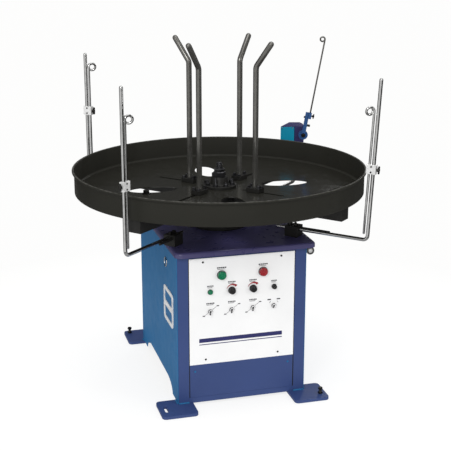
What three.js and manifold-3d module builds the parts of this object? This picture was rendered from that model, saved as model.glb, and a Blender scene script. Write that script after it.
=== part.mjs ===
// Motorised horizontal wire pay-off stand: a driven pan on a sheet-metal cabinet, with three
// adjustable wire guides and a wire-tension switch around the pan. Millimetres, +Z up, the front
// faces -Y, and the origin is on the floor under the pan's axis.
import * as THREE from "three";
import { mergeVertices } from "three/addons/utils/BufferGeometryUtils.js";
import Module from "manifold-3d";

const wasm = await Module();
wasm.setup();

// ---- Driving dimensions ----

const GAP = 0.3; // clearance kept between touching pieces

// Cabinet
const CABINET_WIDTH = 438;
const CABINET_FRONT = -284;
const CABINET_REAR = 306;
const SHEET = 2;
const ANGLE_LEG = 36; // equal-angle corner posts
const ANGLE_WALL = 4;
const FOOT_SIZE = 120;
const FOOT_THICK = 10;
const FOOT_CORNER = 14;
const SKIRT_Z = 50; // lower edge of the side and rear panels
const SKIRT_CURVE = 70; // length of the curve down to the feet

// Lid
const LID_TOP = 535;
const LID_FOLD = 17;
const LID_OVERHANG = 18; // at the front and the rear
const LID_LEFT = 6; // overhang on the left
const LID_RIGHT = 29; // overhang on the right, over the conduit
const LID_SHEET = 3;
const LID_CORNER = 24;

// Turntable
const TURNTABLE_ANGLE = THREE.MathUtils.degToRad(-3.2); // where the turntable is parked
const PAN_RADIUS = 492; // outside of the wall
const PAN_LIP = 8; // the rolled lip stands out this far
const PAN_SHEET = 3;
const PAN_FLOOR = 666; // underside of the floor
const PAN_TOP = 743;
const PAN_SIDES = 56;
const ARM_END = 480;
const ARM_WIDTH = 46;
const ARM_HEIGHT = 45;
const ARM_WALL = 4;
const SHAFT_RADIUS = 25;
const HUB_RADIUS = 78;
const CUTOUT_CENTRE = 230;
const CUTOUT_LENGTH = 164; // radial
const CUTOUT_WIDTH = 78; // across

// Coil posts
const POST_RADIUS = 9.5;
const POST_BEND_Z = 1087;
const POST_TIP_Z = 1165;
const POST_TIP_OUT = 57; // the tip stands out this far from the upright
const POST_TRAVEL = [99, 249]; // the posts' nearest and farthest places, from the axis
const POST_BOLT_RADIUS = 5;
const POST_SLOT_WIDTH = 12;

// Wire guides
const ROD_RADIUS = 6;
const ROD_LEG_Z = 561; // height of the rod's horizontal leg
const ROD_BEND = 14;
const HOLDER_INNER = 262; // the holder block's near end, from the axis
const HOLDER_LENGTH = 46;
const HOLDER_TOP = 572;
const EYE_ROD_RADIUS = 4;
const EYE_RADIUS = 12; // of the loop's centre line
const EYE_OFFSET = 14; // from guide rod to eye rod
const EYE_STEM = 400; // from the rod's lower end to the loop's centre
const CLAMP_LENGTH = 32;
const CLAMP_WIDTH = 16;
const CLAMP_HEIGHT = 30;

// Controls on the front panel
const PANEL_LEFT = -178;
const PANEL_RIGHT = 178;
const PANEL_BOTTOM = 143;
const PANEL_TOP = 508;
const BUTTON_Z = 447;
const BUTTON_X = 70;
const BUTTON_RADIUS = 13;
const KNOB_ROW_Z = 392;
const TOGGLE_ROW_Z = 325;
const COLUMN = 72; // spacing of the four columns
const TOGGLE_COLLAR = 6.5;

// Drive
const DRIVEN_RADIUS = 95;
const DRIVE_RADIUS = 32;
const MOTOR_Y = 172;
const PULLEY_Z = 452;
const PULLEY_HEIGHT = 30;
const BELT_THICK = 5;
const BELT_CLEAR = 1.3; // the belt's straight-sided arcs stay clear of the pulleys

const CABINET_X = CABINET_WIDTH / 2;
const POST_X = CABINET_X - SHEET - GAP; // outer face of the corner posts
const POST_REAR = CABINET_REAR - SHEET - GAP;
const FRAME_TOP = LID_TOP - LID_SHEET - GAP;
const PAN_INSIDE = PAN_FLOOR + PAN_SHEET;

// ---- Solids ----

function solid(geometry) {
  const plain = geometry.index ? geometry.clone() : geometry;
  plain.deleteAttribute("normal");
  plain.deleteAttribute("uv");
  const merged = mergeVertices(plain, 1e-4);
  const mesh = new wasm.Mesh({
    numProp: 3,
    vertProperties: merged.attributes.position.array,
    triVerts: new Uint32Array(merged.index.array),
  });
  return new wasm.Manifold(mesh);
}

function geometryOf(body) {
  const mesh = body.getMesh();
  const geometry = new THREE.BufferGeometry();
  const flat = new Float32Array(mesh.numVert * 3);
  for (let i = 0; i < mesh.numVert; i++) {
    for (let j = 0; j < 3; j++) {
      flat[3 * i + j] = mesh.vertProperties[mesh.numProp * i + j];
    }
  }
  geometry.setAttribute("position", new THREE.BufferAttribute(flat, 3));
  geometry.setIndex(new THREE.BufferAttribute(mesh.triVerts, 1));
  return geometry;
}

function join(first, ...others) {
  return others.reduce((sum, other) => sum.add(other), first);
}

function cut(first, ...others) {
  return others.reduce((rest, other) => rest.subtract(other), first);
}

function block(x0, x1, y0, y1, z0, z1) {
  const geometry = new THREE.BoxGeometry(x1 - x0, y1 - y0, z1 - z0);
  geometry.translate((x0 + x1) / 2, (y0 + y1) / 2, (z0 + z1) / 2);
  return solid(geometry);
}

// A round bar between two points.
function bar(from, to, radius, sides = 12, endRadius = radius) {
  const a = new THREE.Vector3(...from);
  const b = new THREE.Vector3(...to);
  const along = b.clone().sub(a);
  const geometry = new THREE.CylinderGeometry(endRadius, radius, along.length(), sides);
  const up = new THREE.Vector3(0, 1, 0);
  geometry.applyQuaternion(
    new THREE.Quaternion().setFromUnitVectors(up, along.clone().normalize()),
  );
  geometry.translate(...a.add(b).multiplyScalar(0.5).toArray());
  return solid(geometry);
}

// A round bore that clears `radius` all the way round, whatever its number of sides.
function bore(from, to, radius, sides = 12) {
  return bar(from, to, radius / Math.cos(Math.PI / sides), sides);
}

function ball(centre, radius, sides = 8) {
  const geometry = new THREE.SphereGeometry(radius, sides, Math.round(sides * 0.6));
  geometry.translate(...centre);
  return solid(geometry);
}

// A profile of [radius, z] pairs turned about the Z axis.
function turned(profile, sides) {
  const points = profile.map(([r, z]) => new THREE.Vector2(r, z));
  points.push(points[0].clone());
  const geometry = new THREE.LatheGeometry(points, sides);
  geometry.rotateX(Math.PI / 2);
  return solid(geometry);
}

// A flat outline in X and Y raised from z0 to z1.
function raised(shape, z0, z1, curveSegments = 6) {
  const geometry = new THREE.ExtrudeGeometry(shape, {
    depth: z1 - z0,
    bevelEnabled: false,
    curveSegments,
  });
  geometry.translate(0, 0, z0);
  return solid(geometry);
}

function roundedRectangle(x0, x1, y0, y1, radius) {
  const shape = new THREE.Shape();
  shape.moveTo(x0 + radius, y0);
  shape.lineTo(x1 - radius, y0);
  shape.absarc(x1 - radius, y0 + radius, radius, -Math.PI / 2, 0, false);
  shape.lineTo(x1, y1 - radius);
  shape.absarc(x1 - radius, y1 - radius, radius, 0, Math.PI / 2, false);
  shape.lineTo(x0 + radius, y1);
  shape.absarc(x0 + radius, y1 - radius, radius, Math.PI / 2, Math.PI, false);
  shape.lineTo(x0, y0 + radius);
  shape.absarc(x0 + radius, y0 + radius, radius, Math.PI, 1.5 * Math.PI, false);
  return shape;
}

// A round bar bent along a curve.
function bentBar(curve, radius, steps, sides = 12) {
  const section = new THREE.Shape();
  section.absarc(0, 0, radius, 0, 2 * Math.PI, false);
  const geometry = new THREE.ExtrudeGeometry(section, {
    extrudePath: curve,
    steps,
    curveSegments: sides / 2,
    bevelEnabled: false,
  });
  return solid(geometry);
}

function turnZ(body, angle) {
  return body.rotate([0, 0, THREE.MathUtils.radToDeg(angle)]);
}

// ---- Scene graph ----

const part = new THREE.Group();

const paint = {
  blue: { color: 0x2f5f96, roughness: 0.4, metalness: 0.1 },
  lid: { color: 0x3a3f86, roughness: 0.4, metalness: 0.1 },
  black: { color: 0x2b2a27, roughness: 0.55, metalness: 0.2 },
  darkChrome: { color: 0x4a4a4a, roughness: 0.2, metalness: 0.9 },
  chrome: { color: 0xc9ccd0, roughness: 0.15, metalness: 1 },
  white: { color: 0xf4f4f2, roughness: 0.5, metalness: 0 },
  teal: { color: 0x1f8ea8, roughness: 0.45, metalness: 0.1 },
  grey: { color: 0x8a8f94, roughness: 0.5, metalness: 0.4 },
  rubber: { color: 0x1c1c1c, roughness: 0.8, metalness: 0 },
  green: { color: 0x0f8a4a, roughness: 0.35, metalness: 0 },
  red: { color: 0xb5252b, roughness: 0.35, metalness: 0 },
};

function add(name, body, finish, parent = part) {
  const material = new THREE.MeshStandardMaterial(paint[finish]);
  const mesh = new THREE.Mesh(geometryOf(body.simplify(0.002)), material);
  mesh.name = name;
  parent.add(mesh);
}

// ---- Cabinet ----

// An angle section standing at (x, y) with its heel outwards.
function cornerPost(sideX, y, inY) {
  const x = sideX * POST_X;
  const xIn = x - sideX * ANGLE_LEG;
  const yIn = y + inY * ANGLE_LEG;
  const faceLeg = block(
    Math.min(x, xIn), Math.max(x, xIn),
    Math.min(y, y + inY * ANGLE_WALL), Math.max(y, y + inY * ANGLE_WALL),
    FOOT_THICK - 1, FRAME_TOP,
  );
  const sideLeg = block(
    Math.min(x, x - sideX * ANGLE_WALL), Math.max(x, x - sideX * ANGLE_WALL),
    Math.min(y, yIn), Math.max(y, yIn),
    FOOT_THICK - 1, FRAME_TOP,
  );
  return faceLeg.add(sideLeg);
}

const footPlaces = [
  { side: -1, x: -228, y: -306, bolt: null },
  { side: 1, x: 223, y: -306, bolt: [262, -330] },
  { side: -1, x: -217, y: 343, bolt: [-258, 378] },
  { side: 1, x: 217, y: 343, bolt: [258, 378] },
];
const BOLT_RADIUS = 5;
const SLOT_WIDTH = 11;
const SLOT_LENGTH = 46;

function footPlate({ side, x, y, bolt }) {
  const half = FOOT_SIZE / 2;
  const outline = roundedRectangle(x - half, x + half, y - half, y + half, FOOT_CORNER);
  const plate = raised(outline, 0, FOOT_THICK, 3);
  const slotX = x + side * (half - 22);
  const slotY = y - 4;
  const slot = raised(
    roundedRectangle(
      slotX - SLOT_WIDTH / 2, slotX + SLOT_WIDTH / 2,
      slotY - SLOT_LENGTH / 2, slotY + SLOT_LENGTH / 2,
      SLOT_WIDTH / 2 - 0.1,
    ), -1, FOOT_THICK + 1, 3,
  );
  if (!bolt) return plate.subtract(slot);
  const hole = bore([...bolt, -1], [...bolt, FOOT_THICK + 1], BOLT_RADIUS + GAP);
  return plate.subtract(hole);
}

function baseFrame() {
  const posts = [
    cornerPost(-1, CABINET_FRONT, 1),
    cornerPost(1, CABINET_FRONT, 1),
    cornerPost(-1, POST_REAR, -1),
    cornerPost(1, POST_REAR, -1),
  ];
  const rails = [];
  const reach = POST_X - 1.5; // each rail laps into the posts, a little inside their outer faces
  for (const [low, high] of [[FRAME_TOP - 23, FRAME_TOP - 1], [FOOT_THICK + 50, FOOT_THICK + 72]]) {
    for (const side of [-1, 1]) {
      const x0 = side * (POST_X - 1);
      const x1 = side * (POST_X - 1 - ANGLE_WALL);
      rails.push(block(
        Math.min(x0, x1), Math.max(x0, x1), CABINET_FRONT + 3, POST_REAR - 3, low, high,
      ));
    }
    rails.push(block(
      -reach, reach, POST_REAR - 1 - ANGLE_WALL, POST_REAR - 1, low + 1, high - 1,
    ));
  }
  // The front has a top rail behind the panel's edge and a floor-level rail under the apron.
  const railFace = CABINET_FRONT + SHEET + GAP;
  rails.push(block(-reach, reach, railFace, railFace + ANGLE_WALL, FRAME_TOP - 30, FRAME_TOP - 2));
  rails.push(block(
    -reach, reach, CABINET_FRONT + 1, CABINET_FRONT + 1 + ANGLE_WALL,
    FOOT_THICK - 2, FOOT_THICK + 17,
  ));
  return join(...posts, ...rails, ...footPlaces.map(footPlate));
}
add("base_frame", baseFrame(), "blue");

// Side and rear skins end in a curve down to the feet. The outline is in (along, up).
function skirtOutline(from, to) {
  const shape = new THREE.Shape();
  const foot = FOOT_THICK + GAP;
  const leg = 82; // the skin reaches the foot over this length at each end
  shape.moveTo(from, foot);
  shape.lineTo(from + leg, foot);
  shape.quadraticCurveTo(from + leg + 6, SKIRT_Z - 8, from + leg + SKIRT_CURVE, SKIRT_Z);
  shape.lineTo(to - leg - SKIRT_CURVE, SKIRT_Z);
  shape.quadraticCurveTo(to - leg - 6, SKIRT_Z - 8, to - leg, foot);
  shape.lineTo(to, foot);
  shape.lineTo(to, LID_TOP - LID_SHEET - GAP);
  shape.lineTo(from, LID_TOP - LID_SHEET - GAP);
  return shape;
}

// Stands an outline drawn in (x, y) up into (y, z), growing towards +X from x0.
function standAlongY(shape, x0, thickness) {
  const geometry = new THREE.ExtrudeGeometry(shape, {
    depth: thickness,
    bevelEnabled: false,
    curveSegments: 5,
  });
  geometry.rotateX(Math.PI / 2);
  geometry.rotateZ(Math.PI / 2);
  geometry.translate(x0, 0, 0);
  return solid(geometry);
}

const GLAND_Y = -128;
const GLAND_Z = 456;
const GLAND_BORE = 10;
const GLAND_NECK = 13;

const sideOutline = skirtOutline(CABINET_FRONT, CABINET_REAR);
const leftSkin = standAlongY(sideOutline, -CABINET_X, SHEET);
const glandHole = bore(
  [-CABINET_X - 1, GLAND_Y, GLAND_Z], [-CABINET_X + SHEET + 1, GLAND_Y, GLAND_Z], GLAND_NECK + GAP,
);
add("left_panel", leftSkin.subtract(glandHole), "blue");
add("right_panel", standAlongY(sideOutline, CABINET_X - SHEET, SHEET), "blue");

const rearHalf = CABINET_X - SHEET - GAP;
const rearSkin = turnZ(
  standAlongY(skirtOutline(-rearHalf, rearHalf), 0, SHEET), Math.PI / 2,
).translate([0, CABINET_REAR, 0]);
add("rear_panel", rearSkin, "blue");

const postInner = POST_X - ANGLE_LEG;
add("front_apron", block(
  -postInner + 3, postInner - 3, CABINET_FRONT + 1, CABINET_FRONT + 1 + SHEET,
  FOOT_THICK + 17 + GAP, PANEL_BOTTOM - GAP,
), "blue");

function lidShell(inset, top, bottom) {
  const shape = roundedRectangle(
    -CABINET_X - LID_LEFT + inset, CABINET_X + LID_RIGHT - inset,
    CABINET_FRONT - LID_OVERHANG + inset, CABINET_REAR + LID_OVERHANG - inset,
    LID_CORNER - inset,
  );
  return raised(shape, bottom, top, 4);
}
const LID_ROUND = 5;
const lidOuter = join(
  lidShell(0, LID_TOP - LID_ROUND, LID_TOP - LID_FOLD),
  lidShell(1.5, LID_TOP - 1.8, LID_TOP - LID_ROUND - 1),
  lidShell(LID_ROUND, LID_TOP, LID_TOP - LID_ROUND - 1),
);
const lidInner = lidShell(LID_SHEET, LID_TOP - LID_SHEET, LID_TOP - LID_FOLD - 1);
const shaftHole = bore([0, 0, LID_TOP - 10], [0, 0, LID_TOP + 1], SHAFT_RADIUS + 8, 24);
add("top_plate", cut(lidOuter, lidInner, shaftHole), "lid");

const glandProfile = [
  [GLAND_BORE, -4], [17, -4], [17, 4], [14, 7], [GLAND_BORE, 7],
];
const glandNeck = [[GLAND_BORE, -12], [GLAND_NECK, -12], [GLAND_NECK, -3], [GLAND_BORE, -3]];
const gland = turned(glandProfile, 16).add(turned(glandNeck, 16));
add("cable_gland", gland
  .rotate([0, -90, 0])
  .translate([-CABINET_X - 4 - GAP, GLAND_Y, GLAND_Z]), "grey");

const CONDUIT_RADIUS = 13.5;
const CONDUIT_Z = 503;
const conduitX = CABINET_X + CONDUIT_RADIUS + GAP;
const conduitFrom = [conduitX, CABINET_FRONT, CONDUIT_Z];
const conduitTo = [conduitX, CABINET_REAR - 60, CONDUIT_Z];
const conduitBore = bore(
  [conduitX, CABINET_FRONT - 1, CONDUIT_Z], [conduitX, CABINET_REAR, CONDUIT_Z], CONDUIT_RADIUS - 4,
);
add("cable_conduit", bar(conduitFrom, conduitTo, CONDUIT_RADIUS, 20).subtract(conduitBore), "grey");

// ---- Front panel and controls ----

const PANEL_FACE = CABINET_FRONT;
const columnX = [-1.5, -0.5, 0.5, 1.5].map((n) => n * COLUMN);

// A round piece facing the front: profile of [radius, distance out from the panel's face].
function frontTurned(profile, x, z, sides = 14) {
  return turned(profile, sides).rotate([90, 0, 0]).translate([x, PANEL_FACE, z]);
}

function frontHole(x, z, radius) {
  return bore([x, PANEL_FACE - 10, z], [x, PANEL_FACE + 10, z], radius);
}

const panelPlate = block(
  PANEL_LEFT, PANEL_RIGHT, PANEL_FACE, PANEL_FACE + SHEET, PANEL_BOTTOM, PANEL_TOP,
);
const STEM = 8; // radius of a push button's stem
const collars = columnX.map((x) => frontTurned(
  [[4, -SHEET / 2], [TOGGLE_COLLAR, -SHEET / 2], [TOGGLE_COLLAR, 5], [4, 5]], x, TOGGLE_ROW_Z, 10,
));
const panelHoles = [
  ...[-BUTTON_X, BUTTON_X].map((x) => frontHole(x, BUTTON_Z, STEM + GAP)),
  ...columnX.map((x) => frontHole(x, KNOB_ROW_Z, 3.5)),
];
const toggleHoles = columnX.map((x) => frontHole(x, TOGGLE_ROW_Z, 4));
add("control_panel", cut(join(cut(panelPlate, ...toggleHoles), ...collars), ...panelHoles), "white");

// A push button: cap, stem through the panel and a keeper behind it.
function pushButton(x) {
  return frontTurned([
    [0, -22], [BUTTON_RADIUS - 2, -22], [BUTTON_RADIUS - 2, -18], [STEM, -18], [STEM, 4.4],
    [BUTTON_RADIUS, 4.4], [BUTTON_RADIUS, 9], [BUTTON_RADIUS - 1.5, 10.5], [0, 11],
  ], x, BUTTON_Z);
}
add("start_button", pushButton(-BUTTON_X), "green");
add("stop_button", pushButton(BUTTON_X), "red");

add("power_lamp", frontTurned([
  [0, -16], [3, -16], [3, GAP], [8, GAP], [8, 3], [6.5, 6.5], [3.5, 8.5], [0, 9],
], columnX[0], KNOB_ROW_Z, 14), "green");

add("fuse_holder", frontTurned([
  [0, -20], [3, -20], [3, GAP], [8, GAP], [8, 6], [6, 11], [0, 11],
], columnX[3], KNOB_ROW_Z, 12), "rubber");

function speedKnob(x) {
  const body = frontTurned([
    [0, -14], [3, -14], [3, 1], [11.5, 1], [10.5, 14], [0, 14],
  ], x, KNOB_ROW_Z, 18);
  const pointer = block(
    x - 1, x + 1, PANEL_FACE - 15.2, PANEL_FACE - 8, KNOB_ROW_Z, KNOB_ROW_Z + 10.4,
  );
  return body.add(pointer);
}
add("speed_knob_left", speedKnob(columnX[1]), "rubber");
add("speed_knob_right", speedKnob(columnX[2]), "rubber");

// A toggle lever on a ball in its collar, leaning by `lean` towards `angle` in the panel's plane.
const TOGGLE_LEAN = THREE.MathUtils.degToRad(24);
function toggleLever(x, angle) {
  const lever = join(
    ball([0, 0, 0], 3.5),
    bar([0, 0, 1], [0, 0, 14], 1.5, 8, 2.2),
    ball([0, 0, 14], 2.6),
  );
  const lean = new THREE.Vector3(
    Math.sin(TOGGLE_LEAN) * Math.cos(angle), -Math.cos(TOGGLE_LEAN),
    Math.sin(TOGGLE_LEAN) * Math.sin(angle),
  );
  const turn = new THREE.Quaternion().setFromUnitVectors(new THREE.Vector3(0, 0, 1), lean);
  const geometry = geometryOf(lever).applyQuaternion(turn);
  geometry.translate(x, PANEL_FACE - 2, TOGGLE_ROW_Z);
  return solid(geometry);
}
const DIAGONAL_DOWN = Math.PI * 1.25;
add("toggle_feed", toggleLever(columnX[0], DIAGONAL_DOWN), "grey");
add("toggle_mode", toggleLever(columnX[1], DIAGONAL_DOWN), "grey");
add("toggle_brake", toggleLever(columnX[2], DIAGONAL_DOWN), "grey");
add("toggle_direction", toggleLever(columnX[3], Math.PI), "grey");

// ---- Foot bolts ----

const BOLT_TOP = 27;
footPlaces.filter((foot) => foot.bolt).forEach(({ bolt }, i) => {
  const shank = bar([...bolt, GAP], [...bolt, BOLT_TOP], BOLT_RADIUS, 10);
  const head = bar([...bolt, BOLT_TOP - 1], [...bolt, BOLT_TOP + 6], 8.5, 6);
  add(["foot_bolt_front_right", "foot_bolt_rear_left", "foot_bolt_rear_right"][i],
    shank.add(head), "darkChrome");
});

// ---- Drive inside the cabinet ----

const shaftBottom = PULLEY_Z - 12;
const HOUSING_TOP = 598;
const housingFlange = bar([0, 0, LID_TOP + GAP], [0, 0, LID_TOP + 14], 95, 32);
const housingBarrel = bar([0, 0, LID_TOP + 10], [0, 0, HOUSING_TOP], 58, 28);
const housingBore = bore([0, 0, LID_TOP - 1], [0, 0, HOUSING_TOP - 22], SHAFT_RADIUS + 5, 24);
const bearingSeat = bore([0, 0, HOUSING_TOP - 23], [0, 0, HOUSING_TOP + 1], 44, 24);
add("bearing_housing", cut(housingFlange.add(housingBarrel), housingBore, bearingSeat), "black");

const bearingRing = bar([0, 0, HOUSING_TOP - 22.5 + GAP], [0, 0, HOUSING_TOP - 1], 44 - GAP, 24);
const bearingBore = bore([0, 0, HOUSING_TOP - 30], [0, 0, HOUSING_TOP + 1], SHAFT_RADIUS + GAP, 24);
add("main_bearing", bearingRing.subtract(bearingBore), "grey");

const turntable = new THREE.Group();
turntable.rotation.z = TURNTABLE_ANGLE;
part.add(turntable);

const SHAFT_TOP = PAN_INSIDE + 14;
add("main_shaft", bar([0, 0, shaftBottom], [0, 0, SHAFT_TOP], SHAFT_RADIUS, 24), "grey", turntable);

function groovedPulley(radius, bore, sides) {
  const groove = BELT_THICK;
  const h = PULLEY_HEIGHT;
  return turned([
    [bore, 0], [radius + groove, 0], [radius + groove, 4], [radius, 6],
    [radius, h - 6], [radius + groove, h - 4], [radius + groove, h], [bore, h],
  ], sides).translate([0, 0, PULLEY_Z]);
}
add("driven_pulley", groovedPulley(DRIVEN_RADIUS, SHAFT_RADIUS + GAP, 28), "grey", turntable);

const MOTOR_TOP = PULLEY_Z - 14;
const MOTOR_STUB = 9;
const drivePulley = groovedPulley(DRIVE_RADIUS, 4, 16)
  .add(bar([0, 0, MOTOR_TOP - 30], [0, 0, PULLEY_Z + PULLEY_HEIGHT - 2], MOTOR_STUB, 14));
add("drive_pulley", drivePulley.translate([0, MOTOR_Y, 0]), "grey");

// The belt's outline: two arcs and the two straight runs between them.
function beltOutline(extra) {
  const big = DRIVEN_RADIUS + BELT_CLEAR + extra;
  const small = DRIVE_RADIUS + BELT_CLEAR + extra;
  const wrap = Math.asin((big - small) / MOTOR_Y);
  const shape = new THREE.Shape();
  shape.absarc(0, 0, big, Math.PI - wrap, wrap, false);
  shape.absarc(0, MOTOR_Y, small, wrap, Math.PI - wrap, false);
  return shape;
}
const beltLow = PULLEY_Z + 7;
const beltHigh = PULLEY_Z + PULLEY_HEIGHT - 7;
const belt = raised(beltOutline(BELT_THICK - 1), beltLow, beltHigh, 14)
  .subtract(raised(beltOutline(0), beltLow - 1, beltHigh + 1, 14));
add("drive_belt", belt, "rubber");

// Gear motor hung from the lid by two side plates.
const motorCase = block(-52, 52, MOTOR_Y - 52, MOTOR_Y + 52, MOTOR_TOP - 90, MOTOR_TOP);
const motorBody = bar([0, MOTOR_Y, MOTOR_TOP - 260], [0, MOTOR_Y, MOTOR_TOP - 88], 55, 24);
const motorHangers = [-1, 1].map((side) => block(
  Math.min(side * 48, side * 53), Math.max(side * 48, side * 53),
  MOTOR_Y - 20, MOTOR_Y + 50, MOTOR_TOP - 30, FRAME_TOP,
));
const stubBore = bore([0, MOTOR_Y, MOTOR_TOP - 31], [0, MOTOR_Y, MOTOR_TOP + 1], MOTOR_STUB + GAP);
add("gear_motor", cut(join(motorCase, motorBody, ...motorHangers), stubBore), "grey");

add("speed_controller", block(
  -POST_X + ANGLE_WALL + 2, -POST_X + 90, -60, 70, 250, 430,
), "grey");

// ---- Turntable above the lid ----

function armPair(angle) {
  const low = PAN_FLOOR - GAP - ARM_HEIGHT;
  const high = PAN_FLOOR - GAP;
  const half = ARM_WIDTH / 2;
  const outer = block(-ARM_END, ARM_END, -half, half, low, high);
  return turnZ(outer, angle);
}

function armHollow(angle) {
  const low = PAN_FLOOR - GAP - ARM_HEIGHT;
  const half = ARM_WIDTH / 2 - ARM_WALL;
  const hollow = block(
    HUB_RADIUS - 6, ARM_END - ARM_WALL, -half, half, low - 1, low + ARM_HEIGHT - ARM_WALL,
  );
  return turnZ(hollow, angle);
}

const DIAGONAL = Math.PI / 4;
const diagonals = [0, 1, 2, 3].map((n) => DIAGONAL + (n * Math.PI) / 2);
const HUB_BOTTOM = HOUSING_TOP + 4;
const hubBoss = bar([0, 0, HUB_BOTTOM], [0, 0, PAN_FLOOR - GAP], HUB_RADIUS, 28);
const hubBore = bore([0, 0, HUB_BOTTOM - 1], [0, 0, PAN_FLOOR + 1], SHAFT_RADIUS + GAP, 24);
const cross = cut(
  join(armPair(diagonals[0]), armPair(diagonals[1])),
  ...diagonals.map(armHollow),
).add(hubBoss);

// A long slot for a coil post's bolt, along an arm.
function postSlot(angle) {
  const ends = POST_TRAVEL.map((place, i) => place + (2 * i - 1) * POST_SLOT_WIDTH / 2);
  const outline = roundedRectangle(
    ...ends, -POST_SLOT_WIDTH / 2, POST_SLOT_WIDTH / 2, POST_SLOT_WIDTH / 2 - 0.1,
  );
  return turnZ(raised(outline, PAN_FLOOR - GAP - ARM_WALL - 1, PAN_INSIDE + 1, 3), angle);
}
const postSlots = diagonals.map(postSlot);
add("cross_arms", cut(cross, hubBore, ...postSlots), "black", turntable);

// Pan floor with four long cut-outs between the arms.
const FLOOR_RADIUS = PAN_RADIUS - PAN_SHEET - GAP;
function cutout(angle) {
  const shape = new THREE.Shape();
  shape.absellipse(
    CUTOUT_CENTRE, 0, CUTOUT_LENGTH / 2, CUTOUT_WIDTH / 2, 0, 2 * Math.PI, false, 0,
  );
  return turnZ(raised(shape, PAN_FLOOR - 1, PAN_INSIDE + 1, 10), angle);
}
const floorDisc = bar([0, 0, PAN_FLOOR], [0, 0, PAN_INSIDE], FLOOR_RADIUS, PAN_SIDES);
const shaftClear = bore([0, 0, PAN_FLOOR - 1], [0, 0, PAN_INSIDE + 1], SHAFT_RADIUS + GAP, 24);
const cutouts = [0, 1, 2, 3].map((n) => cutout((n * Math.PI) / 2));
add("pan_floor", cut(floorDisc, ...cutouts, ...postSlots, shaftClear), "black", turntable);

// Pan wall: a rolled strip with an out-turned lip.
add("pan_rim", turned([
  [PAN_RADIUS - PAN_SHEET, PAN_FLOOR - 1],
  [PAN_RADIUS, PAN_FLOOR - 1],
  [PAN_RADIUS, PAN_TOP - 12],
  [PAN_RADIUS + PAN_LIP, PAN_TOP - 7],
  [PAN_RADIUS + PAN_LIP, PAN_TOP - 1.5],
  [PAN_RADIUS + PAN_LIP - 2, PAN_TOP],
  [PAN_RADIUS - PAN_SHEET + 2, PAN_TOP],
  [PAN_RADIUS - PAN_SHEET, PAN_TOP - 3],
], PAN_SIDES), "black", turntable);

// Hub flange and clamp nut on the pan's floor.
const flangeFoot = PAN_INSIDE + GAP;
const hubFlange = join(
  bar([0, 0, flangeFoot], [0, 0, flangeFoot + 9], 60, 28),
  bar([0, 0, flangeFoot + 8], [0, 0, flangeFoot + 34], 31, 20, 28),
  bar([0, 0, flangeFoot + 33], [0, 0, flangeFoot + 50], 24, 6),
  bar([0, 0, flangeFoot + 49], [0, 0, flangeFoot + 84], 11, 14),
);
const shaftSocket = bore([0, 0, flangeFoot - 1], [0, 0, SHAFT_TOP + GAP], SHAFT_RADIUS + GAP, 24);
add("hub_flange", hubFlange.subtract(shaftSocket), "black", turntable);

// Four coil posts, each welded to a foot block. A bolt through the slot and a nut under the arm
// hold the block where it is set.
function coilPost(place) {
  const nutTop = PAN_FLOOR - 2 * GAP - ARM_WALL;
  const foot = block(
    place - 26, place + 26, -18, 18, PAN_INSIDE + GAP, PAN_INSIDE + GAP + 14,
  );
  const curve = new THREE.CurvePath();
  const bottom = new THREE.Vector3(place, 0, PAN_INSIDE + GAP + 10);
  const bend = new THREE.Vector3(place, 0, POST_BEND_Z);
  const tip = new THREE.Vector3(place + POST_TIP_OUT, 0, POST_TIP_Z);
  const before = bend.clone().add(new THREE.Vector3(0, 0, -16));
  const after = bend.clone().add(tip.clone().sub(bend).normalize().multiplyScalar(16));
  curve.add(new THREE.LineCurve3(bottom, before));
  curve.add(new THREE.QuadraticBezierCurve3(before, bend, after));
  curve.add(new THREE.LineCurve3(after, tip));
  return join(
    foot,
    bar([place, 0, nutTop - 2], [place, 0, PAN_INSIDE + 4], POST_BOLT_RADIUS, 10),
    bar([place, 0, nutTop - 8], [place, 0, nutTop], 9, 6),
    bentBar(sampled(curve, [1, 3, 1]), POST_RADIUS, 5, 10),
    ball(tip.toArray(), POST_RADIUS, 10),
  );
}

// A curve through the ends of each piece of a path, with the given number of steps in each.
// Each step of the extrusion then lands on one of these points.
function sampled(path, counts) {
  const points = [path.curves[0].getPoint(0)];
  path.curves.forEach((piece, i) => {
    for (let k = 1; k <= counts[i]; k++) points.push(piece.getPoint(k / counts[i]));
  });
  return new Polyline(points);
}

class Polyline extends THREE.Curve {
  constructor(points) {
    super();
    this.points = points;
  }
  getPoint(t) {
    const place = Math.min(t, 1) * (this.points.length - 1);
    const i = Math.min(Math.floor(place + 1e-9), this.points.length - 2);
    return this.points[i].clone().lerp(this.points[i + 1], place - i);
  }
  getPointAt(u) {
    return this.getPoint(u);
  }
  getTangent(t) {
    const last = this.points.length - 1;
    const i = Math.round(Math.min(t, 1) * last);
    const before = this.points[Math.max(i - 1, 0)];
    const after = this.points[Math.min(i + 1, last)];
    return after.clone().sub(before).normalize();
  }
  getTangentAt(u) {
    return this.getTangent(u);
  }
}

// Where each post stands on its diagonal, from the axis.
const postPlaces = [["rear_right", 130], ["rear_left", 122], ["front_left", 122], ["front_right", 143]];
postPlaces.forEach(([name, place], i) => {
  add("coil_post_" + name, turnZ(coilPost(place), diagonals[i]), "darkChrome", turntable);
});

// ---- Wire guides ----

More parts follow.
